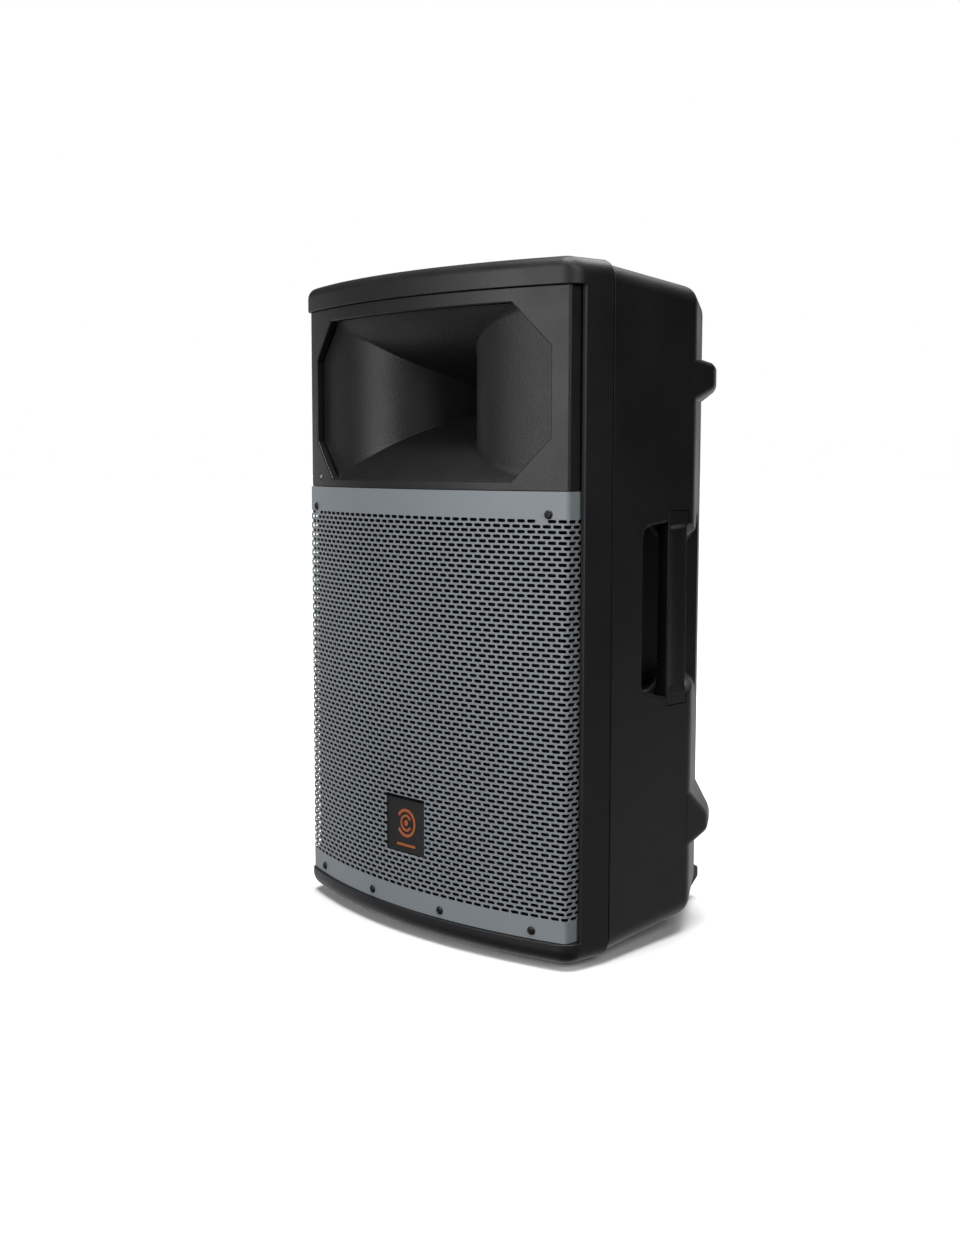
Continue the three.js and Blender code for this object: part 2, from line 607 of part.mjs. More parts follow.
// ---- amplifier ----
const knobs = { mic: 76, line: 40, master: 4 };
const buttons = { mode: -36, lift: -64 };
const sockets = { input_socket_a: 62, input_socket_b: 14, link_socket: -34 };
const INLET = { x: 48, half: [14, 11], flange: [25, 14] };
const FUSE_X = 0;
const ROCKER = { x: -48, half: [9.6, 13.8], tilt: 8, pivotY: 319 };
const [, FACE] = AMP.y;

function ampPanel() {
  const [z0, z1] = AMP.z;
  let plate = box([-AMP.halfW, AMP.halfW], AMP.y, [z0, z1]);
  const cut = [AMP.y[0] - 5, FACE + 5];
  for (const x of Object.values(knobs)) plate = plate.subtract(rod(3.6, cut, x, KNOB_Z, 12));
  for (const x of Object.values(buttons)) plate = plate.subtract(rod(4.4, cut, x, KNOB_Z, 12));
  for (const x of Object.values(sockets)) plate = plate.subtract(rod(12.4, cut, x, SOCKET_Z, 20));
  for (const [x, z] of panelScrews) plate = plate.subtract(rod(2.1, cut, x, z, 8));
  plate = plate.subtract(rod(6.4, cut, FUSE_X, POWER_Z, 16));
  const [iw, ih] = INLET.half.map((v) => v + 0.4);
  plate = plate.subtract(box([INLET.x - iw, INLET.x + iw], cut, [POWER_Z - ih, POWER_Z + ih]));
  const [rw, rh] = ROCKER.half.map((v) => v + 2.4);
  return plate.subtract(box([ROCKER.x - rw, ROCKER.x + rw], cut, [POWER_Z - rh, POWER_Z + rh]));
}

function heatSink() {
  const [base, tip, halfW, fins] = [FACE + GAP, FACE + 16, 84, 12];
  const points = [[-halfW, base], [halfW, base]];
  const pitch = (2 * halfW - 3) / (fins - 1);
  for (let i = fins - 1; i >= 0; i--) {
    const x = -halfW + i * pitch;
    points.push([x + 3, i === fins - 1 ? tip : base + 4], [x + 3, tip], [x, tip], [x, base + 4]);
  }
  const outline = points.filter(([x, y], i) => i === 0 || x !== points[i - 1][0] || y !== points[i - 1][1]);
  return prism(outline.slice(0, -1), 'z', 240, 372);
}

function panelScrew(x, z) {
  const y = FACE + GAP;
  return turned([[0, y + 2], [2.6, y + 1.8], [4, y + 0.6], [4, y], [1.7, y], [1.7, AMP.y[0] - 3],
    [0, AMP.y[0] - 3]], x, z, 8);
}

const circuitBoard = () => box([-86, 86], [294, 296], [395, 520]);

function transformer() {
  const [y0, y1] = [AMP.y[0] - 42, AMP.y[0] - GAP];
  return turned([[16, y0 + 4], [20, y0], [44, y0], [48, y0 + 5], [48, y1 - 5], [44, y1], [20, y1],
    [16, y1 - 4], [16, y0 + 4]], 0, 262, 20);
}

const KNOB_REACH = 14;
function potentiometer(x) {
  const body = box([x - 8, x + 8], [296 + GAP, AMP.y[0] - GAP], [KNOB_Z - 9, KNOB_Z + 9]);
  return body.add(rod(3, [AMP.y[0] - 2, FACE + 11], x, KNOB_Z, 12));
}

function knob(x) {
  const y = FACE + 1;
  const [bore, end] = [3.3, y + KNOB_REACH];
  return turned([[bore, y], [9.5, y], [9.5, y + 2], [8, y + 4], [7.4, end - 1], [6.6, end], [0, end],
    [0, end - 3.5], [bore, end - 3.5],
    [bore, y]], x, KNOB_Z, 16);
}

const BUTTON_TRAVEL = 2;
const pushButton = (x) => rod(4, [AMP.y[0] - 0.5, FACE + 5], x, KNOB_Z, 16);
function buttonSwitch(x) {
  return box([x - 6, x + 6], [296 + GAP, AMP.y[0] - 0.8 - BUTTON_TRAVEL], [KNOB_Z - 6, KNOB_Z + 6]);
}

function audioSocket(x) {
  const [y0, y1] = [FACE + GAP, FACE + GAP + 2];
  const flange = box([x - 13, x + 13], [y0, y1], [SOCKET_Z - 16, SOCKET_Z + 16]);
  const barrel = rod(12, [FACE - 22, y0 + 1], x, SOCKET_Z, 20);
  const mouth = rod(9.5, [FACE - 18, y1 + 5], x, SOCKET_Z, 20);
  return flange.add(barrel).subtract(mouth);
}

function powerInlet() {
  const { x, half: [w, h], flange: [fw, fh] } = INLET;
  const [y0, y1] = [FACE + GAP, FACE + GAP + 3];
  const body = box([x - w, x + w], [FACE - 20, y0 + 1], [POWER_Z - h, POWER_Z + h]);
  const flange = box([x - fw, x + fw], [y0, y1], [POWER_Z - fh, POWER_Z + fh]);
  const mouth = box([x - w + 2.5, x + w - 2.5], [FACE - 16, y1 + 5], [POWER_Z - h + 2, POWER_Z + h - 2]);
  return body.add(flange).subtract(mouth);
}

function fuseHolder() {
  const y = FACE + GAP;
  return turned([[0, y + 9], [6, y + 9], [7, y + 8], [7, y + 2.5], [9, y + 2], [9, y], [6, y], [6, y - 26],
    [0, y - 26]], FUSE_X, POWER_Z, 16);
}

function rockerFrame() {
  const { x, half: [w, h] } = ROCKER;
  const y = FACE + GAP;
  const body = box([x - w - 2, x + w + 2], [FACE - 20, y + 1], [POWER_Z - h - 2, POWER_Z + h + 2]);
  const flange = box([x - w - 4, x + w + 4], [y, y + 2], [POWER_Z - h - 4, POWER_Z + h + 4]);
  const mouth = box([x - w, x + w], [FACE - 15, y + 6], [POWER_Z - h, POWER_Z + h]);
  return body.add(flange).subtract(mouth);
}

// the rocker's outline about its pivot, tipped to its off position
function powerRocker() {
  const h = ROCKER.half[1] - 0.8;
  const outline = [[5.4, -h], [6.6, -h + 2], [4.6, 0], [6.6, h - 2], [5.4, h], [-1, h - 0.6], [-4, 3],
    [-4, -3], [-1, -h + 0.6]];
  const w = ROCKER.half[0] - 0.5;
  const rocker = prism(outline, 'x', -w, w).rotate([-ROCKER.tilt, 0, 0]);
  return rocker.translate([ROCKER.x, ROCKER.pivotY, POWER_Z]);
}

// ---- assembly ----
const model = new THREE.Group();
const cabinet = new THREE.Group();
const depthMiddle = (REAR_Y + REAR_BUMP - LIP_OUT) / 2;
cabinet.position.set(0, -depthMiddle, FOOT_H);
model.add(cabinet);

function place(name, piece, look) {
  const mesh = new THREE.Mesh(shapeOf(piece), looks[look]);
  mesh.name = name;
  cabinet.add(mesh);
}

place('front_shell', frontShell(), 'shell');
place('rear_cabinet', rearCabinet(), 'shell');
place('horn_panel', hornPanel(), 'shell');
place('horn_flare', hornFlare(), 'horn');
place('power_lamp', powerLamp(), 'lens');
place('grille', grille(), 'grille');
grilleScrews.forEach(([x, z], i) => place(`grille_screw_${i + 1}`, grilleScrew(x, z), 'screw'));
place('badge_plate', badgePlate(), 'badge');

for (const [hand, side] of [['left', -1], ['right', 1]]) {
  place(`handle_grip_${hand}`, handleGrip(side), 'grip');
  place(`port_tube_${hand}`, portTube(side), 'socket');
  place(`front_foot_${hand}`, rubberFoot(side * FRONT_FOOT[0], FRONT_FOOT[1]), 'rubber');
  place(`rear_foot_${hand}`, rubberFoot(side * REAR_FOOT[0], REAR_FOOT[1]), 'rubber');
}
place('pole_socket', poleSocket(), 'socket');

place('woofer_basket', wooferBasket(), 'steel');
place('woofer_surround', wooferSurround(), 'rubber');
place('woofer_cone', wooferCone(), 'paper');
place('woofer_dust_cap', wooferDustCap(), 'paper');
place('woofer_voice_coil', wooferVoiceCoil(), 'copper');
place('woofer_spider', wooferSpider(), 'fabric');
place('woofer_top_plate', wooferTopPlate(), 'steel');
place('woofer_magnet', wooferMagnet(), 'magnet');
place('woofer_back_plate', wooferBackPlate(), 'steel');

place('driver_front_plate', driverFrontPlate(), 'steel');
place('driver_magnet', driverMagnet(), 'magnet');
place('driver_cap', driverCap(), 'socket');

place('amp_panel', ampPanel(), 'panel');
place('heat_sink', heatSink(), 'aluminium');
place('circuit_board', circuitBoard(), 'board');
place('transformer', transformer(), 'fabric');
panelScrews.forEach(([x, z], i) => place(`panel_screw_${i + 1}`, panelScrew(x, z), 'screw'));
for (const [name, x] of Object.entries(knobs)) {
  place(`knob_${name}`, knob(x), 'knob');
  place(`potentiometer_${name}`, potentiometer(x), 'steel');
}
for (const [name, x] of Object.entries(buttons)) {
  place(`button_${name}`, pushButton(x), 'knob');
  place(`button_switch_${name}`, buttonSwitch(x), 'socket');
}
for (const [name, x] of Object.entries(sockets)) place(name, audioSocket(x), 'socket');
place('power_inlet', powerInlet(), 'socket');
place('fuse_holder', fuseHolder(), 'socket');
place('rocker_frame', rockerFrame(), 'socket');
place('power_rocker', powerRocker(), 'knob');

export default model;
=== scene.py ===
"""A powered PA speaker cabinet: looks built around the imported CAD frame."""
import bpy
import bmesh
import math
from contextlib import contextmanager
from mathutils import Matrix, Vector
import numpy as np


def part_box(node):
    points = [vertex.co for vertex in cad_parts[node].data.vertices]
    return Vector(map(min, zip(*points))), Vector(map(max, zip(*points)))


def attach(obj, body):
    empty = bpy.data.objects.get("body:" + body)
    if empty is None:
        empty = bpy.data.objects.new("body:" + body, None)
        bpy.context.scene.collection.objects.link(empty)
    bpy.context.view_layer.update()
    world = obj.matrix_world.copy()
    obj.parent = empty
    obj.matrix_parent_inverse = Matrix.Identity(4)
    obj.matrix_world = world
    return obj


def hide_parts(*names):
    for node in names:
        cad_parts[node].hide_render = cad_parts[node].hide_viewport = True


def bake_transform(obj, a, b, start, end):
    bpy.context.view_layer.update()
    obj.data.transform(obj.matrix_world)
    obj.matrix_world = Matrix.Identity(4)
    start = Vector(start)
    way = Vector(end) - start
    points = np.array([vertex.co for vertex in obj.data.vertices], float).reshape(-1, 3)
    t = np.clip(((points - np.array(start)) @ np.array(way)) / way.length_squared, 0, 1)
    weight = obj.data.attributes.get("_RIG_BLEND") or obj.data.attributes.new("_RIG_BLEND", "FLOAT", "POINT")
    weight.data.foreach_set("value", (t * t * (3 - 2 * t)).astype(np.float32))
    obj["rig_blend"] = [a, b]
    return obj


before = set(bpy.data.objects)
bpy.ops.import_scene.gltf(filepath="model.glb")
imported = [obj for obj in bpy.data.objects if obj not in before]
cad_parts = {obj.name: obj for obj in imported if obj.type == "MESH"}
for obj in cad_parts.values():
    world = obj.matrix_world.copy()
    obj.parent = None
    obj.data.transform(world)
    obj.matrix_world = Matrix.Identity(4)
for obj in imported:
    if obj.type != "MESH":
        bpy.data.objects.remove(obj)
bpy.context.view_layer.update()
scene = bpy.context.scene
FINE = 2

# ---- sizes, in mm: x to the viewer's right, y to the rear, z up from the cabinet's bottom
HEIGHT, HALF_W, RAIL_HALF_W, ARC_R = 690.0, 216.0, 214.6, 626.0
LIP_OUT, LIP_TOP_Z, LIP_LOW_Z, LIP_CORNER_R, LIP_TOP_R, EDGE_R = 4.6, 663.0, 22.5, 22.0, 12.0, 17.0
RAIL_Y, RAIL_IN, SEAM_Y, WALL = 49.0, 209.6, 86.0, 5.0
BAFFLE_Y, BAFFLE_T, GROOVE_IN, GROOVE_Y, FLANGE_Y = 50.0, 6.0, 200.0, 62.0, 59.0
GRILLE_Z, GRILLE_OUT, GRILLE_T, GRILLE_HALF_W, BEND_R = (23.2, 467.4), 1.5, 1.2, 207.4, 3.5
PITCH, PHASE, SLOT, SLOT_R, ROW, TOP_ROW, ROWS = 11.52, -2.2, 9.5, 1.7, 5.221, 438.7, 76
GRILLE_SCREWS = [(-186.5, 445.2), (186.5, 445.2), (-170.5, 31.5), (-55.8, 31.5), (55.8, 31.5), (170.5, 31.5)]
BADGE_X, BADGE_Z, MARK_Z = (-29.6, 32.8), (82.4, 143.8), 114.5
PANEL_HALF_W, PANEL_T, COLLAR_D, COLLAR_HALF_W = 206.8, 3.5, 8.0, 198.0
OPEN_Z, OPEN_TOP, OPEN_SIDE, OPEN_X_TOP, OPEN_X_SIDE = 562.6, 85.9, 43.6, 144.4, 186.9
HORN_DEPTH, SIDE_SCALE, SIDE_FADE, TOP_SCALE, TOP_FADE, TOP_END = 150.0, 219.0, 34.0, 231.0, 28.0, 0.0464
HORN_T, CREASE, HORN_HOLE_X, HORN_HOLE_Z = 3.0, 2.2, 82.0, 62.0
LAMP_X, LAMP_Z, LAMP_R = -176.0, 478.5, 2.4
WOOFER_Z, WOOFER_CUT, PORT_X, PORT_Z, PORT_R = 232.0, 181.0, 150.0, 430.0, 21.0
CONE_Y, MAGNET_Y, DRIVER_Y = BAFFLE_Y - 4, 156.0, HORN_DEPTH + 4.3
HANDLE_Z, HANDLE_FRONT_Y, HANDLE_IN = (251.0, 436.0), 139.0, 160.0
GRIP_Y, GRIP_Z, GRIP_THICK, GRIP_TAB = (182.0, 217.0), (245.0, 446.0), 15.0, 14.0
AMP_HALF, AMP_Z, AMP_Y = 105.0, (150.0, 540.0), (319.0, 322.0)
FACE = AMP_Y[1]
KNOB_Z, SOCKET_Z, POWER_Z, TRANSFORMER_Z = 500.0, 450.0, 190.0, 262.0
REAR_Y, SIDE_LEAN, REAR_END_Y, REAR_TIP_Y = 87.0, 15.6 / 135, 330.0, 343.0
# the rear cabinet's sections: y, half width, bottom, top, corner radius
STATIONS = [(REAR_Y, HALF_W, 3, 687, 19), (224.5, 200.1, 12.2, 676.8, 20), (231, 197.2, 12.8, 676.2, 20),
            (307, 140.4, 18, 671, 18), (322, 126.4, 24, 664, 16), (REAR_END_Y, 116.4, 36, 652, 12)]
# how far in front of them the sections of its hollow lie
SET_BACK = (5, 0, 0, 3, 3, 5)
CORNER, REAR_CORNER = (200.0, 228.0), (134.4, 315.0)
ANGLED = [(b - a) / math.dist(CORNER, REAR_CORNER) for a, b in zip(CORNER, REAR_CORNER)]
FRONT_FOOT, REAR_FOOT, POLE_Y = (150, 62), (140, 205), 165.0
KNOBS = {"mic": 76, "line": 40, "master": 4}
BUTTONS = {"mode": -36, "lift": -64}
SOCKETS = {"input_socket_a": 62, "input_socket_b": 14, "link_socket": -34}
INLET_X, FUSE_X, ROCKER_X = 48.0, 0.0, -48.0
PANEL_SCREWS, SCREW_HOLE_R = [(x, z) for z in (156.5, 533.5) for x in (-98.5, 98.5)], 2.1

shell_low, shell_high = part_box("front_shell")
ORIGIN = Vector((0, shell_low.y + LIP_OUT / 1000, shell_high.z - HEIGHT / 1000))


def place(p):
    """Metres in the scene, from mm in the cabinet's own frame."""
    return (p[0] / 1000 + ORIGIN.x, p[1] / 1000 + ORIGIN.y, p[2] / 1000 + ORIGIN.z)


# ---- mesh helpers
def new_object(name, data):
    ob = bpy.data.objects.new(name, data)
    scene.collection.objects.link(ob)
    return ob


@contextmanager
def editing(mesh):
    """A bmesh of the mesh, written back at the end."""
    bm = bmesh.new()
    bm.from_mesh(mesh)
    yield bm
    bm.to_mesh(mesh)
    bm.free()


def mesh_of(name, points, faces):
    """An object from points in mm, welded, with its faces turned outwards."""
    mesh = bpy.data.meshes.new(name)
    mesh.from_pydata([place(p) for p in points], [], faces)
    with editing(mesh) as bm:
        bmesh.ops.remove_doubles(bm, verts=bm.verts, dist=2e-6)
        bmesh.ops.dissolve_degenerate(bm, dist=1e-6, edges=bm.edges)
        bmesh.ops.recalc_face_normals(bm, faces=bm.faces)
    return new_object(name, mesh)


def bake(ob):
    """Applies every modifier to the mesh."""
    bpy.context.view_layer.update()
    graph = bpy.context.evaluated_depsgraph_get()
    made = bpy.data.meshes.new_from_object(ob.evaluated_get(graph))
    ob.modifiers.clear()
    ob.data = made
    return ob


def combine(ob, operation, other):
    boolean = ob.modifiers.new("bool", "BOOLEAN")
    boolean.operation, boolean.object, boolean.solver = operation, other, "MANIFOLD"
    bake(ob)
    bpy.data.objects.remove(other, do_unlink=True)


def cut(ob, *others):
    for other in others:
        combine(ob, "DIFFERENCE", other)


def join(ob, *others):
    for other in others:
        combine(ob, "UNION", other)


def tidy(ob):
    """Welds the mesh and joins its flat triangles into whole faces."""
    with editing(ob.data) as bm:
        bmesh.ops.remove_doubles(bm, verts=bm.verts, dist=8e-6)
        bmesh.ops.dissolve_degenerate(bm, dist=4e-6, edges=bm.edges)
        bmesh.ops.dissolve_limit(bm, angle_limit=math.radians(0.35), verts=bm.verts, edges=bm.edges)
    return ob


def bevel(ob, width, test=None, angle=30, segments=2):
    """Rounds the edges sharper than angle whose middle, in mm, passes the test."""
    with editing(ob.data) as bm:
        layers = bm.edges.layers.float
        weight = layers.get("bevel_weight_edge") or layers.new("bevel_weight_edge")
        for e in bm.edges:
            middle = ((e.verts[0].co + e.verts[1].co) / 2 - ORIGIN) * 1000
            sharp = len(e.link_faces) == 2 and e.calc_face_angle(0) >= math.radians(angle)
            e[weight] = float(sharp and (test is None or test(middle)))
    mod = ob.modifiers.new("bevel", "BEVEL")
    mod.width, mod.segments, mod.limit_method = width / 1000, segments, "WEIGHT"
    mod.use_clamp_overlap, mod.miter_outer, mod.loop_slide = False, "MITER_ARC", True
    return bake(ob)


def smooth(ob, angle):
    """Smooth shading, flat faces kept flat, edges sharper than angle kept sharp."""
    with editing(ob.data) as bm:
        for f in bm.faces:
            f.smooth = True
        for e in bm.edges:
            e.smooth = not (len(e.link_faces) == 2 and e.calc_face_angle(0) > math.radians(angle))
    mod = ob.modifiers.new("normals", "WEIGHTED_NORMAL")
    mod.keep_sharp, mod.weight, mod.mode = True, 50, "FACE_AREA"


class Sheet:
    """A thin sheet in the making: a point is made once for each pair of surface coordinates."""

    def __init__(self, surface, digits=3):
        self.surface, self.digits = surface, digits
        self.points, self.faces, self.index = [], [], {}

    def vertex(self, u, v):
        key = (round(u, self.digits), round(v, 3))
        if key not in self.index:
            self.index[key] = len(self.points)
            self.points.append(self.surface(u, v))
        return self.index[key]

    def span(self, rows):
        """Faces between rows of points that are equally long."""
        made = [[self.vertex(u, v) for u, v in row] for row in rows]
        for a, b in zip(made, made[1:]):
            self.faces += [[a[i], a[i + 1], b[i + 1], b[i]] for i in range(len(a) - 1)]

    def solid(self, name, thickness, even=False):
        """The sheet thickened to the rear."""
        ob = mesh_of(name, self.points, self.faces)
        with editing(ob.data) as bm:
            if sum(f.normal.y * f.calc_area() for f in bm.faces) > 0:
                bmesh.ops.reverse_faces(bm, faces=bm.faces)
        mod = ob.modifiers.new("wall", "SOLIDIFY")
        mod.thickness, mod.offset, mod.use_even_offset = thickness / 1000, -1, even
        return bake(ob)


def prism(name, outline, axis, low, high, *others):
    """Flat outlines pushed along an axis, as one piece: (x, y) along z, (x, z) along y."""
    points, faces = [], []
    for shape in (outline, *others):
        n, k = len(shape), len(points)
        points += [(a, b, c) if axis == "z" else (a, c, b) for c in (low, high) for a, b in shape]
        faces += [[k + i for i in range(n)], [k + n + i for i in reversed(range(n))]]
        faces += [[k + i, k + (i + 1) % n, k + n + (i + 1) % n, k + n + i] for i in range(n)]
    return mesh_of(name, points, faces)


def block(name, x, y, z):
    return prism(name, [(x[0], y[0]), (x[1], y[0]), (x[1], y[1]), (x[0], y[1])], "z", *z)


def centred(name, x, half_x, y, z, half_z):
    """A block about (x, z), between the two depths y."""
    return block(name, (x - half_x, x + half_x), y, (z - half_z, z + half_z))


def loft(name, rings, caps=True):
    """A skin over rings of points, with flat ends."""
    n = len(rings[0])
    points = [p for ring in rings for p in ring]
    faces = [[k + i, k + (i + 1) % n, k + n + (i + 1) % n, k + n + i]
             for k in range(0, len(points) - n, n) for i in range(n)]
    if caps:
        faces += [list(range(n)), list(range(len(points) - n, len(points)))]
    return mesh_of(name, points, faces)


def lathe(name, profile, x, z, segments=64, along="y", base=0.0, wave=None):
    """Turns (radius, height over base) pairs about an axis through (x, z), or (x, y) with along z."""
    rings = []
    for radius, height in profile:
        ring = []
        for i in range(segments):
            a = 2 * math.pi * i / segments
            r = radius + (wave(radius, height, a) if wave else 0)
            u, v = r * math.cos(a), r * math.sin(a)
            ring.append((x + u, base + height, z + v) if along == "y" else (x + u, z + v, base + height))
        rings.append(ring)
    return loft(name, rings, caps=False)


def rod(x, z, r, y, segments=48, along="y"):
    """A plain cylinder between the two depths y, or heights with along z."""
    return lathe("cutter", [(0, y[0]), (r, y[0]), (r, y[1]), (0, y[1])], x, z, segments, along)


def arc(cx, cy, r, start, end, steps):
    return [(cx + r * math.cos(start + (end - start) * s / steps),
             cy + r * math.sin(start + (end - start) * s / steps)) for s in range(steps + 1)]


def circle(cx, cy, r, steps):
    return arc(cx, cy, r, 0, 2 * math.pi, steps)[:-1]


def open_ring(cx, cy, inner, outer, start, end, steps):
    """The outline of a part of a ring; its angles are in degrees."""
    start, end = math.radians(start), math.radians(end)
    return arc(cx, cy, outer, start, end, steps) + arc(cx, cy, inner, end, start, steps)


def round_rect(u0, u1, v0, v1, r, steps=8):
    outline = []
    for cx, cy, q in ((u1 - r, v1 - r, 0), (u0 + r, v1 - r, 1), (u0 + r, v0 + r, 2), (u1 - r, v0 + r, 3)):
        outline += arc(cx, cy, r, q * math.pi / 2, (q + 1) * math.pi / 2, steps)
    return outline


def ring_y(y, half, z0, z1, r, steps=8):
    return [(x, y, z) for x, z in round_rect(-half, half, z0, z1, r, steps)]


def front_y(x, behind=0.0):
    """Depth of the curved front at x, or of a surface some mm behind it."""
    return ARC_R - math.sqrt((ARC_R - behind) ** 2 - x * x)


def bounded(v, low=0.0, high=1.0):
    return max(low, min(high, v))


def ease(v):
    v = bounded(v)
    return v * v * (3 - 2 * v)


def put(ob, x, y, z, turn):
    """Moves a piece made at the frame's origin to (x, y, z) and turns it about the vertical."""
    spot = Matrix.Translation(Vector(place((x, y, z))))
    ob.data.transform(spot @ Matrix.Rotation(turn, 4, "Z") @ Matrix.Translation(-ORIGIN))
    return ob


def on_front(ob, x, z):
    """Puts a piece on the curved front, square to it."""
    return put(ob, x, front_y(x), z, math.asin(x / ARC_R))


# ---- materials
def feed(tree, socket, value):
    """Sets an input, or links it where the value is another node's output."""
    if hasattr(value, "links"):
        tree.links.new(value, socket)
    else:
        socket.default_value = value


def fed(tree, kind, *values, **settings):
    """A new node with its first inputs set in order."""
    node = tree.nodes.new(kind)
    for key, setting in settings.items():
        setattr(node, key, setting)
    for socket, value in zip(node.inputs, values):
        feed(tree, socket, value)
    return node


# the record's slot of each material that isn't called after it; printed marks have none
OTHER_SLOTS = {"throat_painted_shade": "black_plastic", "badge_face": "badge_plate", "scrim_shade_cloth": "surround_cloth",
               "transformer_wrap": "transformer", "mark_paint": None, "print_white": None}


class Looks:
    """A node material built step by step, and the record's slot it belongs to."""

    def __init__(self, name, rough, metal=0.0, spec=0.5):
        self.slot = OTHER_SLOTS.get(name, name)
        self.material = bpy.data.materials.new(name)
        self.material.use_nodes = True
        self.tree = self.material.node_tree
        self.shader = self.tree.nodes["Principled BSDF"]
        for key, value in (("Roughness", rough), ("Metallic", metal), ("Specular IOR Level", spec)):
            self.shader.inputs[key].default_value = value
        self.coords = self.node("ShaderNodeTexCoord").outputs["Object"]
        self.normal = None

    def node(self, kind, **inputs):
        made = self.tree.nodes.new(kind)
        for key, value in inputs.items():
            feed(self.tree, made.inputs[key], value)
        return made

    def noise(self, scale, detail=2.0, rough=0.5, stretch=None):
        coords = self.coords
        if stretch:
            coords = self.node("ShaderNodeMapping", Vector=coords, Scale=stretch).outputs[0]
        made = self.node("ShaderNodeTexNoise", Vector=coords, Scale=scale, Detail=detail, Roughness=rough)
        return made.outputs["Fac"]

    def color(self, fac, low, high, start=0.3, end=0.7):
        """Base colour from low to high while fac goes from start to end."""
        ramp = self.node("ShaderNodeValToRGB", Fac=fac)
        first, last = ramp.color_ramp.elements
        first.position, first.color = start, (*low, 1)
        last.position, last.color = end, (*high, 1)
        self.tree.links.new(ramp.outputs["Color"], self.shader.inputs["Base Color"])

    def tint(self, fac, color, vary):
        """Base colour that is darker and lighter by a share of itself."""
        self.color(fac, [v * (1 - vary) for v in color], [v * (1 + vary) for v in color])

    def rough(self, fac, low, high, start=0.3, end=0.7):
        """Roughness from low to high while fac goes from start to end."""
        made = fed(self.tree, "ShaderNodeMapRange", fac, start, end, low, high)
        self.tree.links.new(made.outputs[0], self.shader.inputs["Roughness"])

    def bump(self, fac, distance, strength):
        """Adds a bump on top of the earlier ones."""
        made = self.node("ShaderNodeBump", Height=fac, Distance=distance, Strength=strength)
        if self.normal:
            self.tree.links.new(self.normal, made.inputs["Normal"])
        self.normal = made.outputs[0]
        self.tree.links.new(self.normal, self.shader.inputs["Normal"])


def plastic(name, color, rough, grain=1500, depth=0.00006, spec=0.5, vary=0.10):
    """Moulded plastic: a fine pebbled grain, slow changes of colour and gloss, a few dull patches."""
    looks = Looks(name, rough, spec=spec)
    slow, fine = looks.noise(9, 4, 0.6), looks.noise(grain, 2, 0.6)
    looks.tint(slow, color, vary)
    mixed = fed(looks.tree, "ShaderNodeMath", fine, 0.25, slow, operation="MULTIPLY_ADD")
    looks.rough(mixed.outputs[0], rough - 0.05, rough + 0.07, 0.42, 0.82)
    cells = looks.node("ShaderNodeTexVoronoi", Vector=looks.coords, Scale=grain * 0.6)
    looks.bump(cells.outputs["Distance"], depth, 0.55)
    looks.bump(fine, depth, 0.8)
    return looks


def metal(name, color, rough, brushed=None, metallic=1.0):
    looks = Looks(name, rough, metallic)
    fine = looks.noise(900, 2, 0.6, brushed) if brushed else looks.noise(700, 3, 0.6)
    looks.tint(looks.noise(30, 3, 0.6), color, 0.12)
    looks.rough(fine, rough - 0.06, rough + 0.10)
    looks.bump(fine, 0.00002, 0.6)
    return looks


def paint():
    """The grille's grey powder coat."""
    looks = Looks("grille_paint", 0.42, spec=0.45)
    slow, peel = looks.noise(7, 4, 0.55), looks.noise(650, 3, 0.55)
    looks.tint(slow, (0.243, 0.270, 0.283), 0.05)
    looks.rough(peel, 0.40, 0.50)
    looks.bump(peel, 0.00006, 0.7)
    return looks


def paper():
    looks = Looks("cone_paper", 0.8)
    fibre = looks.noise(260, 5, 0.7)
    looks.color(fibre, (0.016, 0.016, 0.016), (0.030, 0.029, 0.028))
    looks.bump(fibre, 0.0003, 0.7)
    return looks


def weave(name, color, spec=0.3):
    looks = Looks(name, 0.85, spec=spec)
    threads = looks.node("ShaderNodeTexWave", Vector=looks.coords, Scale=420.0, Distortion=1.5)
    looks.tint(looks.noise(60, 3), color, 0.2)
    looks.bump(threads.outputs["Fac"], 0.0002, 0.7)
    return looks


def board():
    looks = Looks("circuit_board", 0.45)
    cells = looks.node("ShaderNodeTexVoronoi", Vector=looks.coords, Scale=140.0).outputs["Distance"]
    looks.color(cells, (0.010, 0.055, 0.028), (0.018, 0.095, 0.050), 0.2, 0.6)
    looks.bump(cells, 0.0001, 0.5)
    return looks


def lens():
    looks = Looks("lamp_lens", 0.12, spec=0.6)
    cloudy = looks.noise(500, 2)
    looks.color(cloudy, (0.45, 0.46, 0.48), (0.60, 0.61, 0.63))
    looks.shader.inputs["Transmission Weight"].default_value = 0.35
    looks.rough(cloudy, 0.08, 0.16)
    return looks


SHELL = plastic("moulded_shell", (0.0085, 0.0085, 0.0092), 0.46, grain=800, depth=0.00015, spec=0.52)
HORN = plastic("horn_plastic", (0.0070, 0.0070, 0.0078), 0.48, grain=700, depth=0.00024)
# the throat plug's near-black colour is painted shade: it darkens the deep throat, where little light reaches
THROAT_SHADE = plastic("throat_painted_shade", (0.003, 0.003, 0.003), 0.85, grain=900, depth=0.0001, spec=0.1)
BADGE = plastic("badge_face", (0.022, 0.020, 0.021), 0.45, grain=2200, depth=0.00002, spec=0.35)
GRIP = plastic("grip_plastic", (0.0100, 0.0104, 0.0112), 0.42, grain=1300)
BLACK = plastic("black_plastic", (0.011, 0.011, 0.012), 0.38, grain=2400, depth=0.00003)
KNOB = plastic("knob_plastic", (0.014, 0.014, 0.015), 0.55, grain=2600, depth=0.00004)
RUBBER = plastic("rubber", (0.012, 0.012, 0.012), 0.85, grain=900, depth=0.00008, vary=0.25)
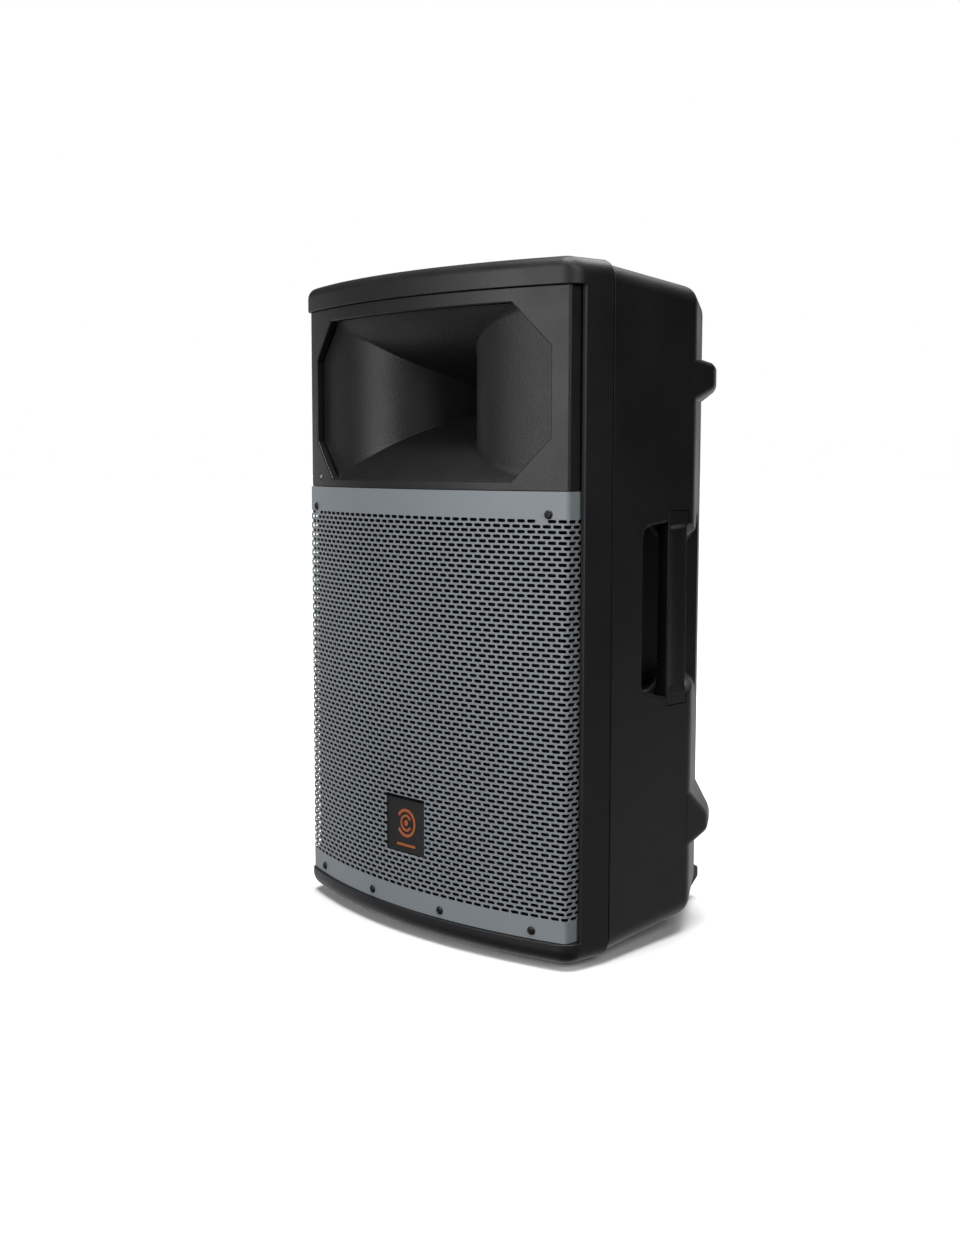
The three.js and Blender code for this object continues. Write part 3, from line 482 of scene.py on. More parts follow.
CLOTH = plastic("surround_cloth", (0.010, 0.010, 0.010), 0.8, grain=700, depth=0.0002)
SCREW = metal("black_screw", (0.020, 0.020, 0.021), 0.34, metallic=0.55)
STEEL = metal("plated_steel", (0.55, 0.55, 0.53), 0.32)
FERRITE = metal("ferrite", (0.030, 0.030, 0.032), 0.62, metallic=0.2)
COPPER = metal("coil_copper", (0.45, 0.20, 0.09), 0.35, brushed=(1, 60, 1))
SINK = metal("heat_sink", (0.030, 0.030, 0.032), 0.45, brushed=(1, 1, 0.02), metallic=0.6)
MARK = plastic("mark_paint", (0.42, 0.115, 0.030), 0.45, grain=2400, depth=0.00001, vary=0.04)
PRINT = plastic("print_white", (0.62, 0.62, 0.60), 0.6, grain=2400, depth=0.00001, vary=0.04)
PANEL = plastic("panel_paint", (0.016, 0.016, 0.017), 0.5, grain=1400, depth=0.00005)
PAINT, PAPER, LENS, BOARD = paint(), paper(), lens(), board()
SPIDER = weave("spider_cloth", (0.42, 0.28, 0.10))
WRAP = weave("transformer_wrap", (0.30, 0.24, 0.06))
# a near-black cloth whose darkness is painted shade behind the grille's slots
SHADE_SCRIM = weave("scrim_shade_cloth", (0.005, 0.005, 0.005), 0.1)


def dress(ob, looks, sharp):
    """Gives a piece its material and its shading."""
    ob.data.materials.clear()
    ob.data.materials.append(looks.material)
    smooth(ob, sharp)


def finish(ob, looks, *nodes, body="cabinet", sharp=32, slot=None):
    """Dresses a piece, puts it on its body and hides the CAD nodes it replaces."""
    dress(ob, looks, sharp)
    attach(ob, body)
    if nodes:
        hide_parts(*nodes)


# ---- front shell
def plan_outline(half_w, out, corner_r, back_y, back_half, n_front, n_corner):
    """Points of the curved front with its outward direction and a 0 to 1 share of 'side'."""
    big = ARC_R + out
    cx = half_w - corner_r
    cy = ARC_R - math.sqrt((big - corner_r) ** 2 - cx * cx)
    meet = math.atan2(cy - ARC_R, cx)
    front = []
    for i in range(n_front + 1):
        a = -math.pi - meet + (math.pi + 2 * meet) * i / n_front
        front.append((big * math.cos(a), ARC_R + big * math.sin(a), math.cos(a), math.sin(a), 0.0))
    right = []
    for i in range(1, n_corner + 1):
        a = meet * (1 - i / n_corner)
        right.append((cx + corner_r * math.cos(a), cy + corner_r * math.sin(a), math.cos(a), math.sin(a),
                      ease(i / n_corner)))
    lean = math.atan2(back_half - half_w, back_y - cy)
    for i in range(1, 7):
        t = i / 6
        right.append((half_w + (back_half - half_w) * t, cy + (back_y - cy) * t, math.cos(lean),
                      -math.sin(lean) * (i < 6), 1.0))
    left = [(-x, y, -nx, ny, side) for x, y, nx, ny, side in reversed(right)]
    return left + front + right


def front_shell():
    base = plan_outline(RAIL_HALF_W, LIP_OUT, LIP_CORNER_R, SEAM_Y, HALF_W, 36 * FINE, 6 * FINE)
    angles = [math.pi / 2 * i / (7 * FINE) for i in range(7 * FINE + 1)]

    def level(a, top):
        """The outline drawn in round the top or the bottom edge."""
        ring = []
        for x, y, nx, ny, side in base:
            r = (LIP_TOP_R + (EDGE_R - LIP_TOP_R) * side) if top else EDGE_R
            inset, z = r * (1 - math.cos(a)), r * (1 - math.sin(a))
            ring.append((x - nx * inset, min(y - ny * inset, SEAM_Y), HEIGHT - z if top else z))
        return ring
    rings = [level(a, False) for a in reversed(angles)] + [level(a, True) for a in angles]
    body = loft("front_shell_body", rings)
    opening, through = (LIP_LOW_Z, LIP_TOP_Z), (BAFFLE_Y - 5, 80)
    cut(body, block("cutter", (-250, 250), (-30, RAIL_Y), opening))
    cut(body, block("cutter", (-RAIL_IN, RAIL_IN), (-30, BAFFLE_Y), opening))
    for s in (-1, 1):
        cut(body, block("cutter", sorted((GROOVE_IN * s, RAIL_IN * s)), (-30, GROOVE_Y), opening))
    back, back_y = HALF_W - WALL, SEAM_Y + 10
    thick, thin = GROOVE_Y + 4, BAFFLE_Y + BAFFLE_T
    behind = [(-back, thick), (-196, thick), (-190, thin), (190, thin), (196, thick), (back, thick),
              (back, back_y), (-back, back_y)]
    cut(body, prism("cutter", behind, "z", *opening))
    cut(body, loft("cutter", [ring_y(y, back, WALL, HEIGHT - WALL, EDGE_R - WALL) for y in (68, back_y)]))
    cut(body, prism("cutter", circle(0, WOOFER_Z, WOOFER_CUT, 96), "y", *through))
    cut(body, centred("cutter", 0, HORN_HOLE_X, through, OPEN_Z, HORN_HOLE_Z))
    for s in (-1, 1):
        cut(body, prism("cutter", circle(s * PORT_X, PORT_Z, PORT_R + 3.1, 48), "y", *through))
    tidy(body)

    def rim(m):
        lips = abs(m.z - LIP_TOP_Z) < 0.3 or abs(m.z - LIP_LOW_Z) < 0.3
        rail = abs(m.y - RAIL_Y) < 0.3 and abs(m.x) > RAIL_IN - 0.3
        seam = abs(m.y - SEAM_Y) < 0.2 and (abs(m.x) > 212 or m.z < 4 or m.z > HEIGHT - 4)
        return (lips and m.y < RAIL_Y - 0.5) or rail or seam
    bevel(body, 0.9, rim, segments=3)
    finish(body, SHELL, "front_shell")


front_shell()


# ---- rear cabinet
def smooth_stations(reach=4.0, steps=5):
    """The stations, each of the middle ones widened into a short curve."""
    def mix(a, b, t):
        return [u + (v - u) * t for u, v in zip(a, b)]
    curve = [STATIONS[0]]
    for before, here, after in zip(STATIONS, STATIONS[1:], STATIONS[2:]):
        p, q = (mix(here, end, min(reach / math.dist(end[:2], here[:2]), 0.45)) for end in (before, after))
        for k in range(steps + 1):
            t = k / steps
            curve.append(mix(mix(p, here, t), mix(here, q, t), t))
    return curve + [STATIONS[-1]]


def side_x(y):
    """The cabinet's side plane at depth y."""
    return HALF_W - SIDE_LEAN * (y - REAR_Y)


def skin_depth(x, y):
    """How far a point in plan lies under the side and the angled rear face."""
    angled = (y - CORNER[1]) * ANGLED[0] - (x - CORNER[0]) * ANGLED[1]
    return min(side_x(y) - x, angled)


def pocket_outline():
    """The handle's hollow seen from the side, clockwise, with a point about every 3 mm."""
    z0, z1 = HANDLE_Z
    # y, z and how far from the corner its rounding starts
    corners = [(HANDLE_FRONT_Y, z0 + 12, 13), (HANDLE_FRONT_Y, z1 - 6, 13), (200, z1, 14), (238, z1 - 32, 16),
               (312, z1 - 32, 0), (312, z0 + 32, 0), (238, z0 + 32, 16), (200, z0, 14)]
    rounded = []
    for i, corner in enumerate(corners):
        here, reach = Vector(corner[:2]), corner[2]
        p, q = (here + (Vector(corners[k % 8][:2]) - here).normalized() * reach for k in (i - 1, i + 1))
        for k in range(9 if reach else 1):
            v = p.lerp(here, k / 8).lerp(here.lerp(q, k / 8), k / 8)
            rounded.append((v.x, v.y))
    dense = []
    for p, q in zip(rounded, rounded[1:] + rounded[:1]):
        steps = max(1, int(math.dist(p, q) / 3))
        dense += [(p[0] + (q[0] - p[0]) * k / steps, p[1] + (q[1] - p[1]) * k / steps) for k in range(steps)]
    return dense


def pocket(side):
    """The handle's hollow, with a rounded floor, flared where it meets the cabinet's skin."""
    outline = pocket_outline()
    outward = []
    for a, b in zip(outline[-1:] + outline, outline[1:] + outline[:1]):
        t = Vector((b[0] - a[0], b[1] - a[1])).normalized()
        outward.append((-t.y, t.x))
    floor_r = 7
    rings = []
    for level in [0, 0.6, 2, 4, floor_r] + [floor_r + v * 1.5 for v in range(1, 46)]:
        x, deep = HANDLE_IN + level, max(0.0, floor_r - level)
        inset = floor_r - math.sqrt(max(0.0, floor_r ** 2 - deep ** 2))
        ring = []
        for (y, z), (u, v) in zip(outline, outward):
            r = 3.5 + 37.5 * ease((y - 199) / 38)
            d = bounded(skin_depth(x, y), -4, r)
            flare = r - math.sqrt(max(0.0, r * r - (r - max(d, 0)) ** 2)) + max(0.0, -d)
            grow = flare - (inset if y < 300 else 0)
            ring.append((side * x, y + u * grow, z + v * grow))
        rings.append(ring)
    return loft("cutter", rings)


def grip_x(y):
    """The outer side of a grip's tabs at depth y."""
    return HALF_W + 1 - 0.12 * (y - SEAM_Y)


def grip_seat(side, play):
    """Room for a grip with play round it, open to the outside."""
    y0, y1 = GRIP_Y
    outer = [(grip_x(y0 - play) + 2 * play, y0 - play), (grip_x(y1 - 9) + 2 * play, y1 - 9),
             (grip_x(y1) - 3 + play, y1 + play)]
    x = grip_x(y1) - GRIP_THICK - play
    plan = [(side * (a + 20), b) for a, b in outer]
    plan += [(side * a, b) for a, b in ((x + 4, y1 + play), (x, y1 - 5), (x, y0 + 3), (x + 3, y0 - play))]
    return prism("cutter", plan, "z", GRIP_Z[0] - play, GRIP_Z[1] + play)


def wedge(low, high, r):
    """An eight-cornered solid between two quads, with rounded edges."""
    return bevel(loft("bump", [low, high]), r, segments=4 * FINE)


def side_bump(side, base, tip):
    """A bump on the angled rear face, from its z range at the base to the one at the tip."""
    (ax, ay), (u, v) = CORNER, ANGLED

    def quad(start, end, out, z):
        corners = ((start, z[0]), (end, z[0]), (end, z[1]), (start, z[1]))
        return [(side * (ax + s * u + out * v), ay + s * v - out * u, h) for s, h in corners]
    inset, lean, out = 5, 29.5, 17.3
    return wedge(quad(-inset * lean / out, 92, -inset, base), quad(lean, lean + 42, out, tip), 5.5)


def low_bump(side):
    """The bump at the rear face's bottom corner."""
    base = [(side * x, 312, z) for x, z in ((90, 4), (126, 4), (126, 44), (90, 44))]
    tip = [(side * x, REAR_TIP_Y, z) for x, z in ((98, 19), (117, 19), (117, 31), (98, 31))]
    return wedge(base, tip, 2.5)


def amp_block(grow, y):
    """The amplifier panel's rectangle grown by some mm, from depth y to past the rear."""
    return block("cutter", (-AMP_HALF - grow, AMP_HALF + grow), (y, 360), (AMP_Z[0] - grow, AMP_Z[1] + grow))


def rear_cabinet():
    body = loft("rear_cabinet_body", [ring_y(*station, 8 * FINE) for station in smooth_stations()])
    for s in (-1, 1):
        join(body, side_bump(s, (556, 604), (572, 598)), side_bump(s, (86, 155), (100, 118)), low_bump(s))
        join(body, lathe("boss", [(0, 0.3), (14.4, 0.3), (15, 0.9), (15, 20), (0, 20)], s * REAR_FOOT[0],
                         REAR_FOOT[1], 48, "z"))
    join(body, lathe("boss", [(0, 3), (39, 3), (40, 4), (40, 20), (0, 20)], 0, POLE_Y, 96, "z"))
    hollow = loft("hollow", [ring_y(y - back, w - WALL, low + WALL, top - WALL, r - WALL + 1)
                             for (y, w, low, top, r), back in zip(STATIONS, SET_BACK)])
    cut(hollow, amp_block(6, AMP_Y[0] - 6))
    for s in (-1, 1):
        cut(hollow, block("cutter", sorted((s * (HANDLE_IN - 4), s * 240)), (HANDLE_FRONT_Y - 4, 310),
                          (HANDLE_Z[0] - 6, HANDLE_Z[1] + 6)), grip_seat(s, 4))
    cut(body, hollow)
    for s in (-1, 1):
        cut(body, pocket(s), grip_seat(s, 0.5))
    cut(body, amp_block(0.6, AMP_Y[0] - 0.3), amp_block(-13, AMP_Y[0] - 20))
    for x, z in PANEL_SCREWS:
        cut(body, prism("cutter", circle(x, z, SCREW_HOLE_R, 20), "y", AMP_Y[0] - 4, 335))
    cut(body, rod(0, POLE_Y, 24, (-5, 40), 96, "z"))
    tidy(body)

    def rim(m):
        seam = abs(m.y - REAR_Y) < 0.3 and (abs(m.x) > 213.5 or m.z < 5 or m.z > HEIGHT - 5)
        amp = (abs(abs(m.x) - AMP_HALF - 0.6) < 0.3 or abs(m.z - AMP_Z[0] + 0.6) < 0.3
               or abs(m.z - AMP_Z[1] - 0.6) < 0.3) and m.y > 329
        return seam or amp or abs(m.y - REAR_END_Y) < 0.3
    bevel(body, 0.9, rim, segments=3)
    finish(body, SHELL, "rear_cabinet")


def seam_band():
    """A rubber band inside the seam of the two shells."""
    loop = [(80, 211.2, 5.2, 5.2, 12), (94, 211.0, 5.4, 5.6, 12), (94, 208.6, 7.8, 8, 10),
            (80, 208.8, 7.6, 7.6, 10)]
    rings = [ring_y(y, half, low, HEIGHT - high, r) for y, half, low, high, r in loop + loop[:1]]
    finish(loft("seam_band", rings, caps=False), RUBBER)


rear_cabinet()
seam_band()


# ---- horn panel and horn
def octagon(grow=0.0):
    top, side = OPEN_TOP + grow, OPEN_SIDE + grow * 0.41
    x_top, x_side = OPEN_X_TOP + grow * 0.41, OPEN_X_SIDE + grow
    right = [(x_top, -top), (x_side, -side), (x_side, side), (x_top, top)]
    return [(x, OPEN_Z + z) for x, z in right] + [(-x, OPEN_Z + z) for x, z in reversed(right)]


def bent_outline(half_w, thick, back_y):
    """A sheet along the curved front, bent back at both sides."""
    def line(inset):
        points = plan_outline(half_w - inset, -inset, BEND_R - inset, back_y, half_w - inset, 64, 6)
        return [(x, y) for x, y, *_ in points]
    return line(0) + line(thick)[::-1]


def arc_slab(near, far, steps=64):
    """A slab that follows the front between two depths behind it."""
    xs = [COLLAR_HALF_W * (2 * i / steps - 1) for i in range(steps + 1)]
    return [(x, front_y(x, near)) for x in xs] + [(x, front_y(x, far)) for x in reversed(xs)]


def horn_panel():
    panel = prism("horn_panel_sheet", bent_outline(PANEL_HALF_W, PANEL_T, FLANGE_Y), "z",
                  GRILLE_Z[1] + 0.3, LIP_TOP_Z - 0.3)
    collar = prism("collar", arc_slab(PANEL_T - 0.5, COLLAR_D), "z", 468, 662)
    combine(collar, "INTERSECT", prism("cutter", octagon(4), "y", -10, 60))
    join(panel, collar)
    cut(panel, prism("cutter", octagon(), "y", -10, 80))
    cut(panel, on_front(rod(0, 0, LAMP_R + 0.3, (-8, 12), 24), LAMP_X, LAMP_Z))
    tidy(panel)

    def opening(m):
        return m.y < front_y(m.x) + 0.6 and abs(m.x) < OPEN_X_SIDE + 1 and abs(m.z - OPEN_Z) < OPEN_TOP + 1

    def rim(m):
        return m.y < front_y(m.x) + 0.6 and (m.z > LIP_TOP_Z - 1 or m.z < GRILLE_Z[1] + 1)
    bevel(panel, 1.9, opening, segments=4)
    bevel(panel, 0.7, rim, segments=3)
    finish(panel, SHELL, "horn_panel")


def horn_point(x, z):
    """The horn's surface, z from its middle: the side and the top and bottom walls meet in a soft crease."""
    sides = SIDE_SCALE * math.exp(-abs(x) / SIDE_FADE)
    walls = TOP_SCALE * (math.exp(-abs(z) / TOP_FADE) - TOP_END)
    share = bounded(0.5 + 0.5 * (walls - sides) / CREASE)
    low = walls + (sides - walls) * share - CREASE * share * (1 - share)
    return (x, front_y(x) + COLLAR_D + 0.3 + bounded(low, 0.0, HORN_DEPTH - COLLAR_D), OPEN_Z + z)


def oct_z(x):
    """Half height of the horn's outer end at x, 2 mm more than the opening's."""
    return OPEN_TOP + 2 + (OPEN_SIDE - OPEN_TOP) * max(0.0, x - OPEN_X_TOP) / (OPEN_X_SIDE - OPEN_X_TOP)


def horn_flare():
    """The horn as one skin: rings that follow its creases, then the four walls' outer ends."""
    def half(d):
        """Half width and half height where the horn is d deep."""
        return (SIDE_FADE * math.log(SIDE_SCALE / d), -TOP_FADE * math.log(TOP_END + d / TOP_SCALE))

    def inside(d):
        w, h = half(d)
        return h <= oct_z(w)
    d, depths = HORN_DEPTH - COLLAR_D, []
    while inside(d):
        depths.append(d)
        d *= 0.955 if d > 40 else 0.93
    outer, inner = d, depths[-1]
    for _ in range(40):
        middle = (outer + inner) / 2
        outer, inner = (outer, middle) if inside(middle) else (middle, inner)
    depths.append(inner)

    def crowded(n):
        """Shares from -1 to 1, closer together towards both ends."""
        return [math.sin(math.pi / 2 * (2 * i / n - 1)) for i in range(n + 1)]
    up, along = crowded(14 * FINE), crowded(24 * FINE)
    skin, rings = Sheet(horn_point), []
    for d in depths:
        w, h = half(d)
        quarter = [(w, t * h) for t in up[:-1]] + [(-t * w, h) for t in along[:-1]]
        ring = quarter + [(-x, -z) for x, z in quarter]
        rings.append(ring + ring[:1])
    skin.span(rings)
    # the walls' outer ends run 2 mm on behind the panel
    columns, rows = 16 * FINE, 6 * FINE
    xs = [w + (OPEN_X_SIDE + 2 - w) * c / columns for c in range(columns + 1)]
    sides = [(x, h + oct_z(x) - oct_z(w)) for x in xs[:-1]] + [(xs[-1], oct_z(xs[-1]))]
    zs = [h + (OPEN_TOP + 2 - h) * c / rows for c in range(rows + 1)]
    slope = (OPEN_X_SIDE - OPEN_X_TOP) / (OPEN_TOP - OPEN_SIDE)
    walls = [(OPEN_X_TOP + slope * (OPEN_TOP + 2 - z), z) for z in zs]
    for s in (-1, 1):
        skin.span([[(s * x, t * z) for t in up] for x, z in sides])
        skin.span([[(t * x, s * z) for t in along] for x, z in walls])
    finish(skin.solid("horn_skin", HORN_T), HORN, "horn_flare", sharp=60)


horn_panel()
horn_flare()
# the plug at the horn's throat is near black: painted shade of the deep throat
plug = [(0, 128), (2, 129), (5, 134), (8, 141), (10.5, 150), (10.5, 153.4), (0, 153.4)]
finish(lathe("horn_throat_plug", plug, 0, OPEN_Z, 32 * FINE), THROAT_SHADE)
glass = [(0, -1.2), (0.9, -1.1), (1.7, -0.75), (2.2, -0.3), (LAMP_R, 0.1), (LAMP_R, 5), (0, 5)]
finish(on_front(lathe("power_lamp_lens", glass, 0, 0, 32), LAMP_X, LAMP_Z), LENS, "power_lamp")


# ---- grille
def grille():
    """A punched sheet: rows of slots, each row shifted by half a pitch, bent back at both sides."""
    big = ARC_R + GRILLE_OUT
    cx = GRILLE_HALF_W - BEND_R
    cy = ARC_R - math.sqrt((big - BEND_R) ** 2 - cx * cx)
    meet = math.atan2(cy - ARC_R, cx)
    front_end = big * (math.pi / 2 + meet)
    bend_end = front_end + BEND_R * -meet
    span = bend_end + (FLANGE_Y - cy)

    def surface(u, z):
        """A point u mm from the middle along the bent sheet."""
        s, u = (1 if u >= 0 else -1), abs(u)
        if u <= front_end:
            a = -math.pi / 2 + u / big
            return (s * big * math.cos(a), ARC_R + big * math.sin(a), z)
        if u <= bend_end:
            a = meet + (u - front_end) / BEND_R
            return (s * (cx + BEND_R * math.cos(a)), cy + BEND_R * math.sin(a), z)
        return (s * GRILLE_HALF_W, cy + u - bend_end, z)
    sheet = Sheet(surface, 2)

    def face(*corners):
        """A face whose corners past the sheet's side edges are moved on to them."""
        ids = [sheet.vertex(bounded(u, -span, span), z) for u, z in corners]
        ids = [v for i, v in enumerate(ids) if v != ids[i - 1]]
        if len(set(ids)) > 2:
            sheet.faces.append(ids)
    part = PITCH / 6
    steps = [part * i for i in range(-3, 4)]

    def plain(c, z0, z1):
        """A cell without a slot; the middle points at its ends belong to the next cells' slots."""
        z = (z0 + z1) / 2
        for i, (a, b) in enumerate(zip(steps, steps[1:])):
            left, right = [(c + a, z)] * (i == 0), [(c + b, z)] * (i == 5)
            face((c + a, z0), (c + b, z0), *right, (c + b, z1), (c + a, z1), *left)

    def slotted(c, z, z0, z1):
        """A cell with a slot in its middle."""
        b = SLOT / 2 - SLOT_R
        for half, rim_z in ((1, z1), (-1, z0)):
            edge, edge_z = (-b, -part, 0, part, b), z + half * SLOT_R
            for i in range(4):
                face((c + steps[i + 1], rim_z), (c + steps[i + 2], rim_z), (c + edge[i + 1], edge_z),
                     (c + edge[i], edge_z))
            for s in (-1, 1):
                end = [(c + s * (b + SLOT_R * math.sin(a)), z + half * SLOT_R * math.cos(a))
                       for a in (k * math.pi / 8 for k in range(5))]
                face((c + s * 2 * part, rim_z), *end, (c + s * 3 * part, z), (c + s * 3 * part, rim_z))
    cells = int(span // PITCH) + 3
    for r in range(ROWS):
        z = TOP_ROW - ROW * r
        z0, z1 = z - ROW / 2, z + ROW / 2
        for k in range(-cells, cells + 1):
            c = PITCH * (k + 0.5 * (r % 2)) + PHASE
            if abs(c) - PITCH / 2 >= span - 0.01:
                continue
            near_screw = any(math.dist((c, z), screw) < 9 for screw in GRILLE_SCREWS)
            if near_screw or abs(c) + SLOT / 2 > bend_end + 21:
                plain(c, z0, z1)
            else:
                slotted(c, z, z0, z1)
    top, low = TOP_ROW + ROW / 2, TOP_ROW - ROW * (ROWS - 1) - ROW / 2
    us = [PHASE + part * i for i in range(-int(span // part) - 2, int(span // part) + 4)]
    for levels in ((top, top + 4, top + 14, top + 24, GRILLE_Z[1]),
                   (low, low - 3, low - 12, low - 18, GRILLE_Z[0])):
        for z0, z1 in zip(levels, levels[1:]):
            for u, v in zip(us, us[1:]):
                face((u, z0), (v, z0), (v, z1), (u, z1))
    ob = sheet.solid("grille_sheet", GRILLE_T, even=True)
    cut(ob, block("cutter", BADGE_X, (-6, 12), BADGE_Z))
    finish(ob, PAINT, "grille", sharp=40)


grille()
# a near-black sheet just behind the grille: painted shade for the cabinet's inside seen through the slots
finish(prism("grille_shade_scrim", arc_slab(3.2, 3.9), "z", 26, 464), SHADE_SCRIM)


# ---- screws
def cross_head(name, r, h, shank, length, seat, turn):
    """A pan head with a cross recess, made about the Y axis with its head towards -Y."""
    head = [(0.14, 1), (0.28, 0.99), (0.40, 0.975), (0.52, 0.94), (0.66, 0.87), (0.80, 0.72), (0.91, 0.50),
            (0.98, 0.25), (1, 0.08), (0.985, 0)]
    profile = [(0.001, h)] + [(a * r, b * h) for a, b in head]
    profile += [(shank, 0.0), (shank, -length), (0.001, -length - 1)]
    rings = []
    for radius, height in profile:
        ring = []
        for x, z in circle(0, 0, radius, 48):
            near, far = sorted((abs(x), abs(z)))
            across = ease(1 - (near - 0.10 * r) / (0.07 * r))
            along = ease(1 - (far - 0.36 * r) / (0.22 * r))
            dip = 0.62 * h * across * along if height > 0.3 * h else 0.0
            ring.append((x, seat - height + dip, z))
        rings.append(ring)
    ob = loft(name, rings)
    spin = Matrix.Rotation(turn, 4, "Y")
    ob.data.transform(Matrix.Translation(ORIGIN) @ spin @ Matrix.Translation(-ORIGIN))
    return ob


for i, (x, z) in enumerate(GRILLE_SCREWS):
    head = cross_head(f"grille_screw_head_{i + 1}", 4.4, 2.2, 1.7, 16, -GRILLE_OUT - 0.3, 0.5 + 1.3 * i)
    finish(on_front(head, x, z), SCREW, f"grille_screw_{i + 1}", sharp=50)
for i, (x, z) in enumerate(PANEL_SCREWS):
    head = cross_head(f"panel_screw_head_{i + 1}", 4.0, 2.0, 1.6, 5, 0, 0.4 + 0.9 * i)
    finish(put(head, x, FACE + 0.3, z, math.pi), SCREW, f"panel_screw_{i + 1}", sharp=50)


# ---- badge
def badge():
    """A dark plate with a plain mark of its own: an open ring, an arc and a dot over a short bar."""
    outline = round_rect(BADGE_X[0] + 0.2, BADGE_X[1] - 0.2, BADGE_Z[0] + 0.2, BADGE_Z[1] - 4.2, 1.5, 6)
    plate = bevel(prism("badge_face", outline, "y", 1.0, 2.6), 0.5, lambda m: m.y < 1.2, segments=3)
    finish(plate, BADGE, "badge_plate")
    x, raised = sum(BADGE_X) / 2, ("y", 0.55, 1.3)
    ring = prism("badge_mark_ring", open_ring(x, MARK_Z, 12.2, 15.4, -150, 150, 72), *raised)
    inner = prism("badge_mark_inner", open_ring(x, MARK_Z, 6.6, 9.2, 30, 330, 60), *raised)
    dot = lathe("badge_mark_dot", [(0, 0.55), (2.9, 0.55), (3.1, 0.7), (3.1, 1.3), (0, 1.3)], x, MARK_Z, 40)
    bar = prism("badge_mark_bar", round_rect(x - 15.4, x + 15.4, 89.2, 91.8, 1.2, 6), *raised)
    for ob in (ring, inner, dot, bar):
        finish(bevel(ob, 0.15, lambda m: m.y < 0.6, angle=60), MARK)


badge()


# ---- handle grips
def grip_section(z):
    """Outline of a grip at height z: tabs at both ends, a thinner bar between, ribs on its inner face."""
    d = min(z - GRIP_Z[0], GRIP_Z[1] - z)
    bar = ease((d - GRIP_TAB) / 5)
    cap = 1.0 - math.sqrt(1 - (1 - bounded(d)) ** 2)
    y0, y1 = GRIP_Y[0] + cap, GRIP_Y[1] - 1.4 * bar - cap
    r_out, r_in = 1.0 + 0.5 * bar, 1.2 + 3.6 * bar
    rib = 0.9 * ease((d - GRIP_TAB - 12) / 6) * (0.5 + 0.5 * math.cos(2 * math.pi * (z - 345.5) / 6.7))
    x_in = grip_x(GRIP_Y[1]) - GRIP_THICK + 0.3 + cap + 1.2 * bar

    def x_out(y):
        hollow = 1 - ((y - (y0 + y1) / 2) / ((y1 - y0) / 2)) ** 2
        return side_x(y) - 2.6 * bar * max(0.0, hollow) - cap

    def corner(y, x, r, sy, sx):
        """A quarter round from the front or rear face to the inner or outer one."""
        return [(y - sy * r * (1 - math.cos(a)), x - sx * r * (1 - math.sin(a)))
                for a in (math.pi / 12 * k for k in range(7))]

    def between(a, b):
        return [a[0] + (b[0] - a[0]) * k / 10 for k in range(1, 10)]
    front_in, rear_in = corner(y0, x_in, r_in, -1, -1), corner(y1, x_in, r_in, 1, -1)
    front_out, rear_out = corner(y0, x_out(y0), r_out, -1, 1), corner(y1, x_out(y1), r_out, 1, 1)
    outline = front_in + [(y, x_in) for y in between(front_in[-1], rear_in[-1])] + rear_in[::-1]
    outline += rear_out + [(y, x_out(y)) for y in between(rear_out[-1], front_out[-1])] + front_out[::-1]
    ring = []
    for y, x in outline:
        front = bounded(1 - (y - y0) / 9)
        x += rib * bounded(1 - (x - x_in) / 5)
        ring.append((x, y + rib * 0.9 * front * bounded(1 - (x - x_in) / 9), z))
    return ring


def grip(side, hand):
    low, high = GRIP_Z
    levels, z = [], low
    while z < high - 1e-6:
        levels.append(z)
        z += 0.7 if z < low + GRIP_TAB + 8 or z > high - GRIP_TAB - 8 else 2.2 / FINE
    rings = [[(side * x, y, z) for x, y, z in grip_section(z)] for z in levels + [high]]
    finish(loft(f"handle_bar_{hand}", rings), GRIP, f"handle_grip_{hand}", sharp=45)


grip(-1, "left")
grip(1, "right")


# ---- pieces that keep their CAD shape, with rounded edges
def from_cad(node, name, width, looks, **how):
    ob = new_object(name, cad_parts[node].data.copy())
    finish(bevel(tidy(ob), width), looks, node, **how)


def amp_plate():
    depth = (AMP_Y[0] - 1, AMP_Y[1] + 2)
    plate = bevel(prism("amp_plate", round_rect(-AMP_HALF, AMP_HALF, *AMP_Z, 3, 6), "y", *AMP_Y), 0.5,
                  lambda m: m.y > FACE - 0.1, segments=3)
    holes = [(x, KNOB_Z, 3.6) for x in KNOBS.values()] + [(x, KNOB_Z, 4.4) for x in BUTTONS.values()]
    holes += [(x, SOCKET_Z, 12.4) for x in SOCKETS.values()] + [(FUSE_X, POWER_Z, 6.4)]
    for x, z, r in holes + [(*spot, SCREW_HOLE_R) for spot in PANEL_SCREWS]:
        cut(plate, rod(x, z, r, depth))
    cut(plate, centred("cutter", INLET_X, 14.4, depth, POWER_Z, 11.4),
        centred("cutter", ROCKER_X, 12, depth, POWER_Z, 16.2))
    finish(plate, PANEL, "amp_panel")


amp_plate()
from_cad("heat_sink", "heat_sink_fins", 0.35, SINK)
from_cad("power_inlet", "inlet_housing", 0.5, BLACK)
from_cad("rocker_frame", "rocker_bezel", 0.5, BLACK)
from_cad("power_rocker", "rocker_cap", 0.5, KNOB, body="power_rocker")
for key in KNOBS:
    from_cad(f"potentiometer_{key}", f"pot_{key}", 0.2, STEEL)
for key in BUTTONS:
    from_cad(f"button_switch_{key}", f"switch_{key}", 0.3, BLACK)
from_cad("circuit_board", "board_plate", 0.2, BOARD)
from_cad("woofer_basket", "basket", 0.4, BLACK, slot="plated_steel", sharp=40)


# ---- round pieces, turned afresh
def turned(name, looks, x, z, base, profile, *nodes, body="cabinet", sharp=30, segments=48 * FINE, **how):
    ob = lathe(name, profile, x, z, segments, base=base, **how)
    finish(ob, looks, *nodes, body=body, sharp=sharp)


